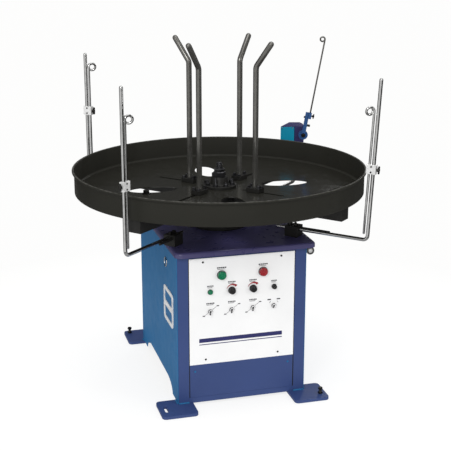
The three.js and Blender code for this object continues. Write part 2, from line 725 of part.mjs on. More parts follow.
// A holder on the lid: a block with a cross bore, and a stub bar beside the guide rod.
function rodHolder(stubEnd) {
  const foot = LID_TOP + GAP;
  const body = block(
    HOLDER_INNER, HOLDER_INNER + HOLDER_LENGTH, -15, 27, foot, HOLDER_TOP,
  );
  const stub = bar([HOLDER_INNER + 4, 16, ROD_LEG_Z], [stubEnd, 16, ROD_LEG_Z], 5, 12);
  const passage = bore(
    [HOLDER_INNER - 1, 0, ROD_LEG_Z], [HOLDER_INNER + HOLDER_LENGTH + 1, 0, ROD_LEG_Z],
    ROD_RADIUS + GAP,
  );
  return cut(body.add(stub), passage);
}

// An L-shaped rod: a horizontal leg through the holder and an upright leg at `place` that rises
// to `top` and leans outwards by `lean`.
function bentRod(place, inner, top, lean = 0) {
  const path = new THREE.CurvePath();
  const start = new THREE.Vector3(inner, 0, ROD_LEG_Z);
  const corner = new THREE.Vector3(place, 0, ROD_LEG_Z);
  const rise = new THREE.Vector3(Math.tan(lean), 0, 1);
  const before = corner.clone().add(new THREE.Vector3(-ROD_BEND, 0, 0));
  const after = corner.clone().addScaledVector(rise, ROD_BEND);
  const end = corner.clone().addScaledVector(rise, top - ROD_LEG_Z);
  path.add(new THREE.LineCurve3(start, before));
  path.add(new THREE.QuadraticBezierCurve3(before, corner, after));
  path.add(new THREE.LineCurve3(after, end));
  return bentBar(sampled(path, [1, 4, 1]), ROD_RADIUS, 6, 10);
}

// An eye rod: a straight stem ending in a pigtail loop that faces the front. The stem stands at
// the origin, with its lower end at z = 0, and the loop leans towards `side` along X.
function eyeRod(side, stem, wire, loop) {
  const points = [new THREE.Vector3(0, 0, 0), new THREE.Vector3(0, 0, stem - loop - wire)];
  const turns = 1.15;
  const steps = 20;
  const pitch = 2 * wire + 1.5;
  for (let i = 0; i <= steps; i++) {
    const angle = (i / steps) * turns * 2 * Math.PI;
    points.push(new THREE.Vector3(
      side * loop * (1 - Math.cos(angle)), (pitch * angle) / (2 * Math.PI),
      stem + loop * Math.sin(angle),
    ));
  }
  return bentBar(new Polyline(points), wire, points.length - 1, 6);
}

const CLAMP_INNER = -EYE_OFFSET - EYE_ROD_RADIUS - 4; // the clamp's ends, from the guide rod
const CLAMP_OUTER = CLAMP_INNER + CLAMP_LENGTH;

function clampBlock(z) {
  const body = block(
    CLAMP_INNER, CLAMP_OUTER, -CLAMP_WIDTH / 2, CLAMP_WIDTH / 2,
    z - CLAMP_HEIGHT / 2, z + CLAMP_HEIGHT / 2,
  );
  const rodBore = bore([0, 0, z - 30], [0, 0, z + 30], ROD_RADIUS + GAP);
  const eyeBore = bore([-EYE_OFFSET, 0, z - 30], [-EYE_OFFSET, 0, z + 30], EYE_ROD_RADIUS + GAP);
  return cut(body, rodBore, eyeBore);
}

// A wing screw in the end of a clamp: the outer end if `end` is 1, the inner end if it is -1.
function wingScrew(z, end) {
  const face = end > 0 ? CLAMP_OUTER + GAP : CLAMP_INNER - GAP;
  const shank = bar([face, 0, z], [face + end * 9, 0, z], 3, 10);
  const boss = bar([face + end * 3, 0, z], [face + end * 11, 0, z], 6, 12);
  const near = face + end * 6;
  const far = face + end * 10;
  const wings = block(Math.min(near, far), Math.max(near, far), -5, 5, z - 13, z + 13);
  return join(shank, boss, wings);
}

// `clampZ` and `eyeEnd` are the heights of the clamp's centre and the eye rod's lower end when
// the upright stands straight.
const guides = [
  { name: "front_left", angle: -137.9, place: 530, top: 1082, lean: 0, stub: 375, clampZ: 779,
    eyeEnd: 579, eyeSide: 1, screwEnd: 1 },
  { name: "front_right", angle: -46.2, place: 552, top: 1082, lean: 2.9, stub: 412, clampZ: 795,
    eyeEnd: 578, eyeSide: -1, screwEnd: 1 },
  { name: "rear_left", angle: 135.3, place: 549, top: 1091, lean: 0, stub: 375, clampZ: 885,
    eyeEnd: 641, eyeSide: 1, screwEnd: -1 },
];
const ROD_INNER = 222;

for (const guide of guides) {
  const angle = THREE.MathUtils.degToRad(guide.angle);
  const lean = THREE.MathUtils.degToRad(guide.lean);
  const station = new THREE.Group();
  station.rotation.z = angle;
  part.add(station);
  add("rod_holder_" + guide.name, rodHolder(guide.stub), "black", station);
  add("guide_rod_" + guide.name,
    bentRod(guide.place, ROD_INNER, guide.top, lean), "chrome", station);

  // The pieces on the upright lean with it about the rod's corner.
  const upright = new THREE.Group();
  upright.position.set(guide.place, 0, ROD_LEG_Z);
  upright.rotation.y = lean;
  station.add(upright);
  const clampHeight = guide.clampZ - ROD_LEG_Z;
  add("guide_clamp_" + guide.name, clampBlock(clampHeight), "chrome", upright);
  add("wing_screw_" + guide.name,
    wingScrew(clampHeight, guide.screwEnd), "darkChrome", upright);

  // The eye faces the front whichever way its station points.
  const outwards = new THREE.Vector3(Math.cos(angle), Math.sin(angle), 0);
  const eyeStand = new THREE.Group();
  eyeStand.position.copy(outwards).multiplyScalar(guide.place).setZ(ROD_LEG_Z);
  eyeStand.setRotationFromAxisAngle(new THREE.Vector3(-outwards.y, outwards.x, 0), lean);
  part.add(eyeStand);
  const eye = eyeRod(guide.eyeSide, EYE_STEM, EYE_ROD_RADIUS, EYE_RADIUS)
    .translate([-EYE_OFFSET * outwards.x, -EYE_OFFSET * outwards.y, guide.eyeEnd - ROD_LEG_Z]);
  add("eye_rod_" + guide.name, eye, "chrome", eyeStand);
}

// ---- Wire-tension switch at the rear right corner ----

const MAST_ANGLE = THREE.MathUtils.degToRad(45);
const MAST_PLACE = 590;
const BOX_BOTTOM = 722;
const BOX_TOP = 785;
const BOX_OUTLINE = [[0, 0], [53, 0], [53, 6], [90, 6], [90, 60], [80, 92], [38, 92]];
const PIVOT = [87, 753]; // the lever's pin, across and up
const LEVER_LEAN = THREE.MathUtils.degToRad(10);
const LEVER_LENGTH = 90;
const SWITCH_TURN = THREE.MathUtils.degToRad(-15.5);
const SWITCH_CORNER = [351, 397]; // the box's near left corner

const mastStation = new THREE.Group();
mastStation.rotation.z = MAST_ANGLE;
part.add(mastStation);
add("rod_holder_rear_right", rodHolder(375), "black", mastStation);
add("sensor_mast", bentRod(MAST_PLACE, ROD_INNER, BOX_BOTTOM - GAP), "chrome", mastStation);

// The switch's own frame: X across its front, Y into its depth, Z up from the floor.
const switchGroup = new THREE.Group();
switchGroup.position.set(...SWITCH_CORNER, 0);
switchGroup.rotation.z = SWITCH_TURN;
part.add(switchGroup);

const boxOutline = new THREE.Shape(BOX_OUTLINE.map(([x, y]) => new THREE.Vector2(x, y)));
const switchBox = join(
  raised(boxOutline, BOX_BOTTOM, BOX_TOP),
  bar([PIVOT[0], 10, PIVOT[1]], [PIVOT[0], -6, PIVOT[1]], 4, 12),
);
add("sensor_box", switchBox, "teal", switchGroup);

// Lever, drawn upright at its pin and then leaned. Its clamp holds the sensing rod beside it.
const ROD_SIDE = 10;
const SENSING_STEM = 298;
const SENSING_EYE = 8.5;
const leverUpright = cut(
  join(
    bar([0, 4, 0], [0, -5, 0], 18, 20),
    block(-7, 7, -10, -4.5, -8, LEVER_LENGTH),
    block(5, ROD_SIDE + 6, -13, -3, LEVER_LENGTH - 24, LEVER_LENGTH),
  ),
  bore([0, 5, 0], [0, -7, 0], 4 + GAP),
  bore([ROD_SIDE, -8, LEVER_LENGTH - 25], [ROD_SIDE, -8, LEVER_LENGTH + 1], 3 + GAP),
);
const sensingRod = eyeRod(-1, SENSING_STEM, 3, SENSING_EYE)
  .translate([ROD_SIDE, -8, LEVER_LENGTH - 18]);
const screwX = ROD_SIDE + 6 + GAP;
const screwZ = LEVER_LENGTH - 12;
const leverScrew = join(
  bar([screwX, -8, screwZ], [screwX + 7, -8, screwZ], 2.5, 10),
  bar([screwX + 3, -8, screwZ], [screwX + 10, -8, screwZ], 4.5, 12),
  block(screwX + 5, screwX + 9, -11, -5, screwZ - 10, screwZ + 10),
);

const lever = new THREE.Group();
lever.position.set(PIVOT[0], 0, PIVOT[1]);
lever.rotation.y = LEVER_LEAN;
switchGroup.add(lever);
add("sensor_lever", leverUpright, "lid", lever);
add("sensing_rod", sensingRod, "darkChrome", lever);
add("lever_screw", leverScrew, "darkChrome", lever);

export default part;
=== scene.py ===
"""Motorised wire pay-off stand: the looks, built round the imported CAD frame.

Shapes are drawn in millimetres in the part's own frame and scaled to metres once, in finish_piece.
"""
import math

import bmesh
import bpy
from mathutils import Matrix, Vector


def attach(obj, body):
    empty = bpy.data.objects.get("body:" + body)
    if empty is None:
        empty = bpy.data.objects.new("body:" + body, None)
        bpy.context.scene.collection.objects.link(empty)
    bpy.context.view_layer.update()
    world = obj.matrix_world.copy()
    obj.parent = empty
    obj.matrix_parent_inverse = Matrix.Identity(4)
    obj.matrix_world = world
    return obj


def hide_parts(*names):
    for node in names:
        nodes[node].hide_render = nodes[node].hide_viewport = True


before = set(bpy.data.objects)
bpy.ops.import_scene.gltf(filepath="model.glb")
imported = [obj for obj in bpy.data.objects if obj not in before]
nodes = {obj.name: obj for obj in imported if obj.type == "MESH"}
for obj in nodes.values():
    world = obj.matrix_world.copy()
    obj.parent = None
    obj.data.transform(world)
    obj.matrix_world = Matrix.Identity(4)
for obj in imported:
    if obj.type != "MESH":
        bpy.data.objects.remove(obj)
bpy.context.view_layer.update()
scene = bpy.context.scene

MM = 0.001
PI = math.pi

# ---- Camera, floor, lights ----

camera_data = bpy.data.cameras.new("camera")
camera_data.sensor_width = 36
camera_data.lens = 84.3
camera_data.clip_end = 200
camera = bpy.data.objects.new("camera", camera_data)
camera.location = (-0.9212, -3.3942, 1.5472)
camera.rotation_euler = (PI / 2 - 0.282, 0, -0.271)
scene.collection.objects.link(camera)
scene.camera = camera
scene.view_settings.view_transform = "Standard"


def area_light(name, place, target, size, power, color=(1, 1, 1)):
    data = bpy.data.lights.new(name, "AREA")
    data.shape = "RECTANGLE"
    data.size, data.size_y = size
    data.energy = power
    data.color = color
    light = bpy.data.objects.new(name, data)
    light.location = place
    aim = Vector(target) - Vector(place)
    light.rotation_euler = aim.to_track_quat("-Z", "Y").to_euler()
    scene.collection.objects.link(light)


area_light("key", (-2.2, -3.4, 3.0), (0, 0, 0.6), (1.0, 1.8), 52)
area_light("fill", (3.0, -3.0, 2.0), (0, 0, 0.6), (0.5, 2.2), 18)
area_light("top", (0.2, -0.4, 4.4), (0, 0, 0.6), (2.4, 2.4), 34)
area_light("back", (2.2, 3.4, 2.4), (0, 0, 0.8), (0.5, 2.0), 12)


def studio_world():
    """Even white light, a plain white backdrop, and tall panels that only show in reflections."""
    world = bpy.data.worlds.new("studio")
    world.use_nodes = True
    tree = world.node_tree
    tree.nodes.clear()
    new, link = tree.nodes.new, tree.links.new

    def ramp(source, stops):
        node = new("ShaderNodeValToRGB")
        link(source, node.inputs[0])
        points = node.color_ramp.elements
        while len(points) < len(stops):
            points.new(0.5)
        for point, (place, value) in zip(points, stops):
            point.position = place
            point.color = (value, value, value, 1)
        return node.outputs[0]

    def background(color, strength):
        node = new("ShaderNodeBackground")
        node.inputs["Strength"].default_value = strength
        if isinstance(color, tuple):
            node.inputs["Color"].default_value = color
        else:
            link(color, node.inputs["Color"])
        return node.outputs[0]

    def choose(factor, first, second):
        node = new("ShaderNodeMixShader")
        for socket, source in zip(node.inputs, (factor, first, second)):
            link(source, socket)
        return node.outputs[0]

    coords = new("ShaderNodeTexCoord").outputs["Generated"]
    split = new("ShaderNodeSeparateXYZ")
    link(coords, split.inputs[0])
    flat = new("ShaderNodeVectorMath")
    flat.operation = "MULTIPLY"
    flat.inputs[1].default_value = (1, 1, 0)
    link(coords, flat.inputs[0])
    unit = new("ShaderNodeVectorMath")
    unit.operation = "NORMALIZE"
    link(flat.outputs[0], unit.inputs[0])
    facing = new("ShaderNodeVectorMath")
    facing.operation = "DOT_PRODUCT"
    facing.inputs[1].default_value = (-0.74, -0.67, 0)
    link(unit.outputs[0], facing.inputs[0])
    place = new("ShaderNodeMapRange")
    place.inputs[1].default_value = -1
    link(facing.outputs["Value"], place.inputs[0])

    panels = ramp(place.outputs[0], [(0.0, 0.05), (0.12, 0.05), (0.16, 0.35), (0.22, 0.35), (0.27, 0.02),
                                     (0.77, 0.02), (0.84, 0.9), (0.91, 1.0), (0.96, 0.40), (1.0, 0.8)])
    overhead = ramp(split.outputs["Z"], [(0.4, 0.0), (0.95, 1.0)])
    blend = new("ShaderNodeMix")
    blend.data_type = "RGBA"
    blend.inputs[7].default_value = (0.5, 0.5, 0.5, 1)
    link(overhead, blend.inputs[0])
    link(panels, blend.inputs[6])
    sky = ramp(split.outputs["Z"], [(0.0, 0.86), (0.6, 1.0)])
    paths = new("ShaderNodeLightPath")
    seen = choose(paths.outputs["Is Camera Ray"], background(sky, 0.86),
                  background((0.985, 0.985, 0.98, 1), 1.0))
    lit = choose(paths.outputs["Is Glossy Ray"], seen, background(blend.outputs[2], 1.0))
    output = new("ShaderNodeOutputWorld")
    link(lit, output.inputs["Surface"])
    scene.world = world


studio_world()

# ---- Materials ----


class Graph:
    """A material's node tree round one Principled shader, with object coordinates in metres."""

    def __init__(self, name):
        self.material = bpy.data.materials.new(name)
        self.material.use_nodes = True
        self.tree = self.material.node_tree
        self.shader = self.tree.nodes["Principled BSDF"]
        self.coords = self.node("ShaderNodeTexCoord").outputs["Object"]

    def node(self, kind, **settings):
        made = self.tree.nodes.new(kind)
        for key, value in settings.items():
            setattr(made, key, value)
        return made

    def link(self, source, target):
        self.tree.links.new(source, target)

    def noise(self, scale, detail=3.0, stretch=(1, 1, 1), roughness=0.55):
        mapping = self.node("ShaderNodeMapping")
        mapping.inputs["Scale"].default_value = stretch
        self.link(self.coords, mapping.inputs["Vector"])
        noise = self.node("ShaderNodeTexNoise")
        noise.inputs["Scale"].default_value = scale
        noise.inputs["Detail"].default_value = detail
        noise.inputs["Roughness"].default_value = roughness
        self.link(mapping.outputs[0], noise.inputs["Vector"])
        return noise.outputs["Fac"]

    def remap(self, value, low, high, to_low, to_high):
        remap = self.node("ShaderNodeMapRange")
        for i, number in enumerate((low, high, to_low, to_high)):
            remap.inputs[i + 1].default_value = number
        self.link(value, remap.inputs[0])
        return remap.outputs[0]

    def mix(self, factor, first, second):
        mix = self.node("ShaderNodeMix", data_type="RGBA")
        self.link(factor, mix.inputs[0])
        for socket, value in ((mix.inputs[6], first), (mix.inputs[7], second)):
            if isinstance(value, tuple):
                socket.default_value = (*value, 1)
            else:
                self.link(value, socket)
        return mix.outputs[2]

    def bump(self, height, strength, distance, below=None):
        bump = self.node("ShaderNodeBump")
        bump.inputs["Strength"].default_value = strength
        bump.inputs["Distance"].default_value = distance
        self.link(height, bump.inputs["Height"])
        if below is not None:
            self.link(below, bump.inputs["Normal"])
        return bump.outputs[0]


def shade(color, factor):
    return tuple(min(1.0, c * factor) for c in color)


def painted(name, color, roughness, specular=0.5, peel=0.25, dust=0.25, tint=None, highlight_band=None):
    """Sprayed paint: cloudy tone, orange peel, faint scuffs and dust, and on request a painted highlight
    band.

    The last argument gives two heights in metres; between them the paint turns bare-metal grey, broken
    up by noise, as a painted highlight along a top edge.
    """
    g = Graph(name)
    cloudy = g.remap(g.noise(5.5, 4), 0.3, 0.7, 0, 1)
    tone = g.mix(cloudy, shade(color, 0.96), tint or shade(color, 1.06))
    scuffs = g.remap(g.noise(38, 8, (1, 1, 3.5), 0.7), 0.60, 0.74, 0, dust)
    tone = g.mix(scuffs, tone, tuple(0.6 * c + 0.12 for c in color))
    # Painted highlight: a thin band between two heights turns bare-metal grey, broken up by noise.
    if highlight_band is not None:
        low, high = highlight_band
        height = g.node("ShaderNodeSeparateXYZ")
        g.link(g.coords, height.inputs[0])
        edge = g.remap(height.outputs["Z"], low, high, 0, 0.55)
        patches = g.remap(g.noise(90, 5), 0.38, 0.62, 0, 1)
        highlight_mask = g.node("ShaderNodeMath", operation="MULTIPLY")
        g.link(edge, highlight_mask.inputs[0])
        g.link(patches, highlight_mask.inputs[1])
        tone = g.mix(highlight_mask.outputs[0], tone, (0.20, 0.195, 0.18))
    g.link(tone, g.shader.inputs["Base Color"])
    rough = g.remap(g.noise(24, 6), 0.3, 0.7, roughness - 0.06, roughness + 0.10)
    g.link(rough, g.shader.inputs["Roughness"])
    g.shader.inputs["Specular IOR Level"].default_value = specular
    peel_bump = g.bump(g.noise(420, 2), peel, 0.00025)
    g.link(g.bump(g.noise(7, 2), 0.08, 0.004, peel_bump), g.shader.inputs["Normal"])
    return g.material


def metal(name, color, roughness, grain, grain_scale, bump=0.12, spots=0.15, metallic=1.0):
    """Plated or machined metal: fine grain along one direction and a few dull spots."""
    g = Graph(name)
    cloudy = g.remap(g.noise(60, 4), 0.35, 0.7, 0, 1)
    tone = g.mix(cloudy, shade(color, 1.08), shade(color, 0.85))
    dull = g.remap(g.noise(240, 6), 0.62, 0.72, 0, spots)
    tone = g.mix(dull, tone, shade(color, 0.45))
    g.link(tone, g.shader.inputs["Base Color"])
    g.shader.inputs["Metallic"].default_value = metallic
    fine = g.noise(grain_scale, 3, grain)
    g.link(g.remap(fine, 0.3, 0.7, roughness * 0.75, roughness * 1.35),
           g.shader.inputs["Roughness"])
    g.link(g.bump(fine, bump, 0.0001), g.shader.inputs["Normal"])
    return g.material


def plastic(name, color, roughness, coat=0.0, texture=0.15, scale=900):
    """Moulded plastic or rubber with a fine spark texture and handling marks."""
    g = Graph(name)
    g.link(g.mix(g.remap(g.noise(90, 4), 0.35, 0.65, 0, 1), shade(color, 0.9), shade(color, 1.12)),
           g.shader.inputs["Base Color"])
    g.link(g.remap(g.noise(160, 5), 0.3, 0.7, roughness - 0.05, roughness + 0.1),
           g.shader.inputs["Roughness"])
    g.shader.inputs["Coat Weight"].default_value = coat
    g.link(g.bump(g.noise(scale, 2), texture, 0.0001), g.shader.inputs["Normal"])
    return g.material


SIDE_BLUE = painted("side_blue", (0.024, 0.142, 0.325), 0.46, specular=0.10, dust=0.04)
FRONT_BLUE = painted("front_blue", (0.039, 0.068, 0.200), 0.38, specular=0.3, dust=0.06)
VIOLET_BLUE = painted("violet_blue", (0.028, 0.024, 0.085), 0.30, specular=0.35, dust=0.12,
                      tint=(0.036, 0.034, 0.125))
LID_PAINT = painted("lid_paint", (0.062, 0.056, 0.150), 0.30, specular=0.5, dust=0.10)
LEVER_BLUE = painted("lever_blue", (0.026, 0.085, 0.235), 0.32, specular=0.4, dust=0.1)
TEAL = painted("teal", (0.004, 0.235, 0.370), 0.36, specular=0.25, dust=0.04)
# The pan paint turns bare-metal grey 740 to 744 mm up, along the rim bead's top: a painted highlight.
PAN_BLACK = painted("pan_black", (0.022, 0.0215, 0.017), 0.50, specular=0.18, peel=0.3, dust=0.04,
                    highlight_band=(0.740, 0.744))
FLOOR_BLACK = painted("floor_black", (0.019, 0.0185, 0.015), 0.16, specular=0.55, peel=0.08,
                      dust=0.03)
BLACK = painted("black", (0.014, 0.0135, 0.012), 0.45, specular=0.3, peel=0.4, dust=0.15)
WHITE = painted("white", (0.915, 0.915, 0.915), 0.42, specular=0.3, peel=0.1, dust=0.02,
                tint=(0.935, 0.935, 0.935))
CHROME = metal("chrome", (0.66, 0.66, 0.65), 0.08, (1, 1, 0.05), 900, bump=0.08)
DARK_CHROME = metal("dark_chrome", (0.19, 0.186, 0.172), 0.17, (1, 1, 0.05), 900, 0.03, 0.1, 0.75)
STEEL = metal("steel", (0.34, 0.34, 0.34), 0.30, (1, 1, 0.2), 700, 0.2)
NICKEL = metal("nickel", (0.085, 0.085, 0.09), 0.34, (1, 1, 0.3), 700, 0.2)
BLACK_STEEL = metal("black_steel", (0.045, 0.044, 0.042), 0.34, (1, 1, 1), 500, 0.3, 0.5)
# Mostly diffuse near-white: a painted reflection of the white surroundings on polished metal.
REFLECTION_WHITE = metal("reflection_white", (0.93, 0.93, 0.92), 0.42, (1, 1, 0.3), 500, 0.1, 0.05, 0.35)
CAST = painted("cast_grey", (0.20, 0.215, 0.23), 0.5, peel=0.8)
GREEN = plastic("green", (0.0, 0.165, 0.070), 0.25, coat=0.2)
RED = plastic("red", (0.30, 0.016, 0.022), 0.25, coat=0.2)
BLACK_PLASTIC = plastic("black_plastic", (0.012, 0.012, 0.013), 0.42)
RUBBER = plastic("rubber", (0.018, 0.018, 0.018), 0.7, texture=0.5, scale=300)
PRINT_BLACK = plastic("print_black", (0.02, 0.02, 0.03), 0.5)
PRINT_BLUE = plastic("print_blue", (0.020, 0.022, 0.13), 0.5)
PRINT_RED = plastic("print_red", (0.34, 0.016, 0.022), 0.5)

# ---- Shape tools ----


def at(place, axis=(0, 0, 1), spin=0.0):
    """A matrix that puts a shape drawn along Z at `place`, pointing along `axis`."""
    turn = Vector((0, 0, 1)).rotation_difference(Vector(axis).normalized())
    return Matrix.Translation(place) @ turn.to_matrix().to_4x4() @ Matrix.Rotation(spin, 4, "Z")


def lathe(bm, profile, sides=48, place=Matrix(), closed=False, ripple=(0, 0.0)):
    """Turns [radius, z] pairs about Z. `ripple` is flutes round it and their depth."""
    count, depth = ripple
    rings = []
    for radius, z in profile:
        if radius < 1e-6:
            rings.append([bm.verts.new(place @ Vector((0, 0, z)))])
            continue
        ring = []
        for i in range(sides):
            a = 2 * PI * i / sides
            r = radius - depth * (0.5 + 0.5 * math.cos(count * a)) if count else radius
            ring.append(bm.verts.new(place @ Vector((r * math.cos(a), r * math.sin(a), z))))
        rings.append(ring)
    pairs = list(zip(rings, rings[1:]))
    if closed:
        pairs.append((rings[-1], rings[0]))
    for lower, upper in pairs:
        for i in range(sides):
            j = (i + 1) % sides
            corners = [lower[i % len(lower)], lower[j % len(lower)],
                       upper[j % len(upper)], upper[i % len(upper)]]
            unique = list(dict.fromkeys(corners))
            if len(unique) > 2:
                bm.faces.new(unique)


def fillet(points, radius, steps=8):
    """A line through points with every inner corner rounded."""
    points = [Vector(p) for p in points]
    line = [points[0]]
    for before, corner, after in zip(points, points[1:], points[2:]):
        a = (before - corner).normalized()
        b = (after - corner).normalized()
        half = a.angle(b) / 2
        centre = corner + (a + b).normalized() * radius / math.sin(half)
        u = (corner + a * radius / math.tan(half) - centre).normalized()
        v = (corner + b * radius / math.tan(half) - centre).normalized()
        line += [centre + u.slerp(v, i / steps) * radius for i in range(steps + 1)]
    return line + [points[-1]]


def sweep(bm, points, radius, sides=20, place=Matrix(), domes=(True, True), wobble=0.0):
    """A round bar along points, with domed or flat ends."""
    points = [place @ Vector(p) for p in points]
    radii = [radius * (1 + wobble * math.sin(2.4 * i) * math.cos(0.9 * i))
             for i in range(len(points))]
    if domes[0]:
        back = (points[0] - points[1]).normalized()
        extra = [(points[0] + back * radius * (math.sin(a) - 1), radius * math.cos(a))
                 for a in (1.53, 1.2, 0.8, 0.4)]
        points = [p for p, _ in extra] + [points[0] - back * radius] + points[1:]
        radii = [r for _, r in extra] + radii
    if domes[1]:
        ahead = (points[-1] - points[-2]).normalized()
        extra = [(points[-1] + ahead * radius * (math.sin(a) - 1), radius * math.cos(a))
                 for a in (0.4, 0.8, 1.2, 1.53)]
        points = points[:-1] + [points[-1] - ahead * radius] + [p for p, _ in extra]
        radii = radii + [r for _, r in extra]
    tangents = [(points[min(i + 1, len(points) - 1)] - points[max(i - 1, 0)]).normalized()
                for i in range(len(points))]
    side = tangents[0].orthogonal().normalized()
    rings = []
    for point, tangent, r in zip(points, tangents, radii):
        side = (side - side.dot(tangent) * tangent).normalized()
        other = tangent.cross(side)
        rings.append([bm.verts.new(point + r * (math.cos(2 * PI * i / sides) * side
                                                + math.sin(2 * PI * i / sides) * other))
                      for i in range(sides)])
    for lower, upper in zip(rings, rings[1:]):
        for i in range(sides):
            j = (i + 1) % sides
            bm.faces.new((lower[i], lower[j], upper[j], upper[i]))
    bm.faces.new(rings[0][::-1])
    bm.faces.new(rings[-1])


def prism(bm, outline, low, high, place=Matrix()):
    """Raises an outline of [x, y] pairs from z = low to z = high."""
    bottom = [bm.verts.new(place @ Vector((x, y, low))) for x, y in outline]
    top = [bm.verts.new(place @ Vector((x, y, high))) for x, y in outline]
    for i in range(len(outline)):
        j = (i + 1) % len(outline)
        bm.faces.new((bottom[i], bottom[j], top[j], top[i]))
    bm.faces.new(bottom[::-1])
    bm.faces.new(top)


def brick(bm, x0, x1, y0, y1, z0, z1, place=Matrix()):
    prism(bm, [(x0, y0), (x1, y0), (x1, y1), (x0, y1)], z0, z1, place)


def rounded(x0, x1, y0, y1, radius, steps=8):
    """A rectangle's outline with rounded corners."""
    corners = [(x1 - radius, y1 - radius, 0), (x0 + radius, y1 - radius, 90),
               (x0 + radius, y0 + radius, 180), (x1 - radius, y0 + radius, 270)]
    outline = []
    for x, y, start in corners:
        for i in range(steps + 1):
            a = math.radians(start + 90 * i / steps)
            outline.append((x + radius * math.cos(a), y + radius * math.sin(a)))
    return outline


def finish_piece(bm, name, material, body, replaces=(), smooth=32, bevel=0.0):
    """Scales a drawn shape to metres and makes it a piece that rides on a body."""
    bmesh.ops.recalc_face_normals(bm, faces=bm.faces)
    if bevel:
        sharp = [e for e in bm.edges if e.calc_face_angle(0) > math.radians(42)]
        bmesh.ops.bevel(bm, geom=sharp, offset=bevel, segments=3, profile=0.5,
                        affect="EDGES", clamp_overlap=True)
    bmesh.ops.scale(bm, vec=(MM, MM, MM), verts=bm.verts)
    mesh = bpy.data.meshes.new(name)
    bm.to_mesh(mesh)
    bm.free()
    mesh.materials.append(material)
    mesh.shade_smooth()
    mesh.set_sharp_from_angle(angle=math.radians(smooth))
    piece = bpy.data.objects.new(name, mesh)
    scene.collection.objects.link(piece)
    if bevel:
        piece.modifiers.new("flat_faces", "WEIGHTED_NORMAL").keep_sharp = True
    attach(piece, body)
    if replaces:
        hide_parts(*replaces)


def keep(node, material, edge=0.8):
    """Keeps a CAD node's shape, with its sharp edges eased and a material of its own."""
    piece = nodes[node]
    mesh = piece.data
    normals = mesh.attributes.get("custom_normal")
    if normals is not None:
        mesh.attributes.remove(normals)
    mesh.materials.clear()
    mesh.materials.append(material)
    mesh.shade_smooth()
    piece.modifiers.new("weld", "WELD").merge_threshold = 0.00001
    planar = piece.modifiers.new("planar", "DECIMATE")
    planar.decimate_type = "DISSOLVE"
    planar.angle_limit = math.radians(1)
    ease = piece.modifiers.new("ease", "BEVEL")
    ease.width = edge * MM
    ease.segments = 2
    ease.limit_method = "ANGLE"
    ease.angle_limit = math.radians(42)
    piece.modifiers.new("flat_faces", "WEIGHTED_NORMAL")


def threads(radius, low, high, pitch=1.75):
    profile = []
    for i in range(int((high - low) / pitch)):
        profile += [(radius, low + i * pitch), (radius * 0.9, low + (i + 0.5) * pitch)]
    return profile


def hexagon(bm, across, low, high, place, chamfer=0.12):
    """A hexagon head or nut, its top edge turned down."""
    r = across / 2 / math.cos(PI / 6)
    lathe(bm, [(0, low), (r, low), (r, high - chamfer * across * 0.5),
               (r * (1 - chamfer), high), (0, high)], 6, place)


def bolt(bm, place, axis=(0, 0, 1), across=10.0, height=5.0, washer=True, spin=0.3):
    """A washer and a hexagon head standing on a face at `place`."""
    stand = at(place, axis, spin)
    base = 0.0
    if washer:
        base = 1.2
        lathe(bm, [(0, 0), (across * 0.78, 0), (across * 0.78, base), (0, base)], 24, stand)
    hexagon(bm, across, base, base + height, stand)


def pan_screw(bm, place, axis, radius=3.5):
    """A low round head."""
    stand = at(place, axis, 0.5)
    lathe(bm, [(0, 0), (radius, 0), (radius, 0.5), (radius * 0.8, 1.6), (radius * 0.3, 2.1),
               (0, 2.1)], 20, stand)


def ellipse(x, y, a, b, turn, steps=64):
    points = []
    for i in range(steps):
        t = 2 * PI * i / steps
        u, v = x + a * math.cos(t), y + b * math.sin(t)
        points.append((u * math.cos(turn) - v * math.sin(turn),
                       u * math.sin(turn) + v * math.cos(turn)))
    return points


def plate_mesh(outlines, low, high):
    """A flat plate with holes, as a bmesh in millimetres."""
    curve = bpy.data.curves.new("outline", "CURVE")
    curve.dimensions = "2D"
    curve.fill_mode = "BOTH"
    curve.extrude = (high - low) / 2
    for outline in outlines:
        spline = curve.splines.new("POLY")
        spline.points.add(len(outline) - 1)
        for point, (x, y) in zip(spline.points, outline):
            point.co = (x, y, 0, 1)
        spline.use_cyclic_u = True
    holder = bpy.data.objects.new("outline", curve)
    scene.collection.objects.link(holder)
    bpy.context.view_layer.update()
    mesh = bpy.data.meshes.new_from_object(holder)
    bm = bmesh.new()
    bm.from_mesh(mesh)
    bmesh.ops.remove_doubles(bm, verts=bm.verts, dist=0.001)
    bmesh.ops.translate(bm, vec=(0, 0, (low + high) / 2), verts=bm.verts)
    bpy.data.objects.remove(holder)
    bpy.data.curves.remove(curve)
    bpy.data.meshes.remove(mesh)
    return bm


# ---- Cabinet ----

for node in ("left_panel", "right_panel", "rear_panel"):
    keep(node, SIDE_BLUE, 0.6)
keep("base_frame", FRONT_BLUE, 1.2)
keep("front_apron", FRONT_BLUE, 0.6)
keep("control_panel", WHITE, 0.5)
for corner in ("front_left", "front_right", "rear_left", "rear_right"):
    keep("rod_holder_" + corner, BLACK, 1.0)
keep("bearing_housing", BLACK, 1.5)
keep("main_bearing", STEEL, 0.5)
keep("drive_belt", RUBBER, 0.5)
keep("gear_motor", CAST, 2.0)
keep("speed_controller", CAST, 2.0)
keep("main_shaft", STEEL, 1.0)
keep("driven_pulley", STEEL, 0.8)
keep("drive_pulley", STEEL, 0.8)
keep("cross_arms", BLACK, 1.2)

CABINET_X = 219
FRONT = -284
REAR = 306
SKIRT_BOTTOM = 518
LID_UNDERSIDE = 532
LID_TOP = 535
FOLD = 8
LID_LEFT = -225
LID_RIGHT = 248
LID_FRONT = -302
LID_REAR = 324


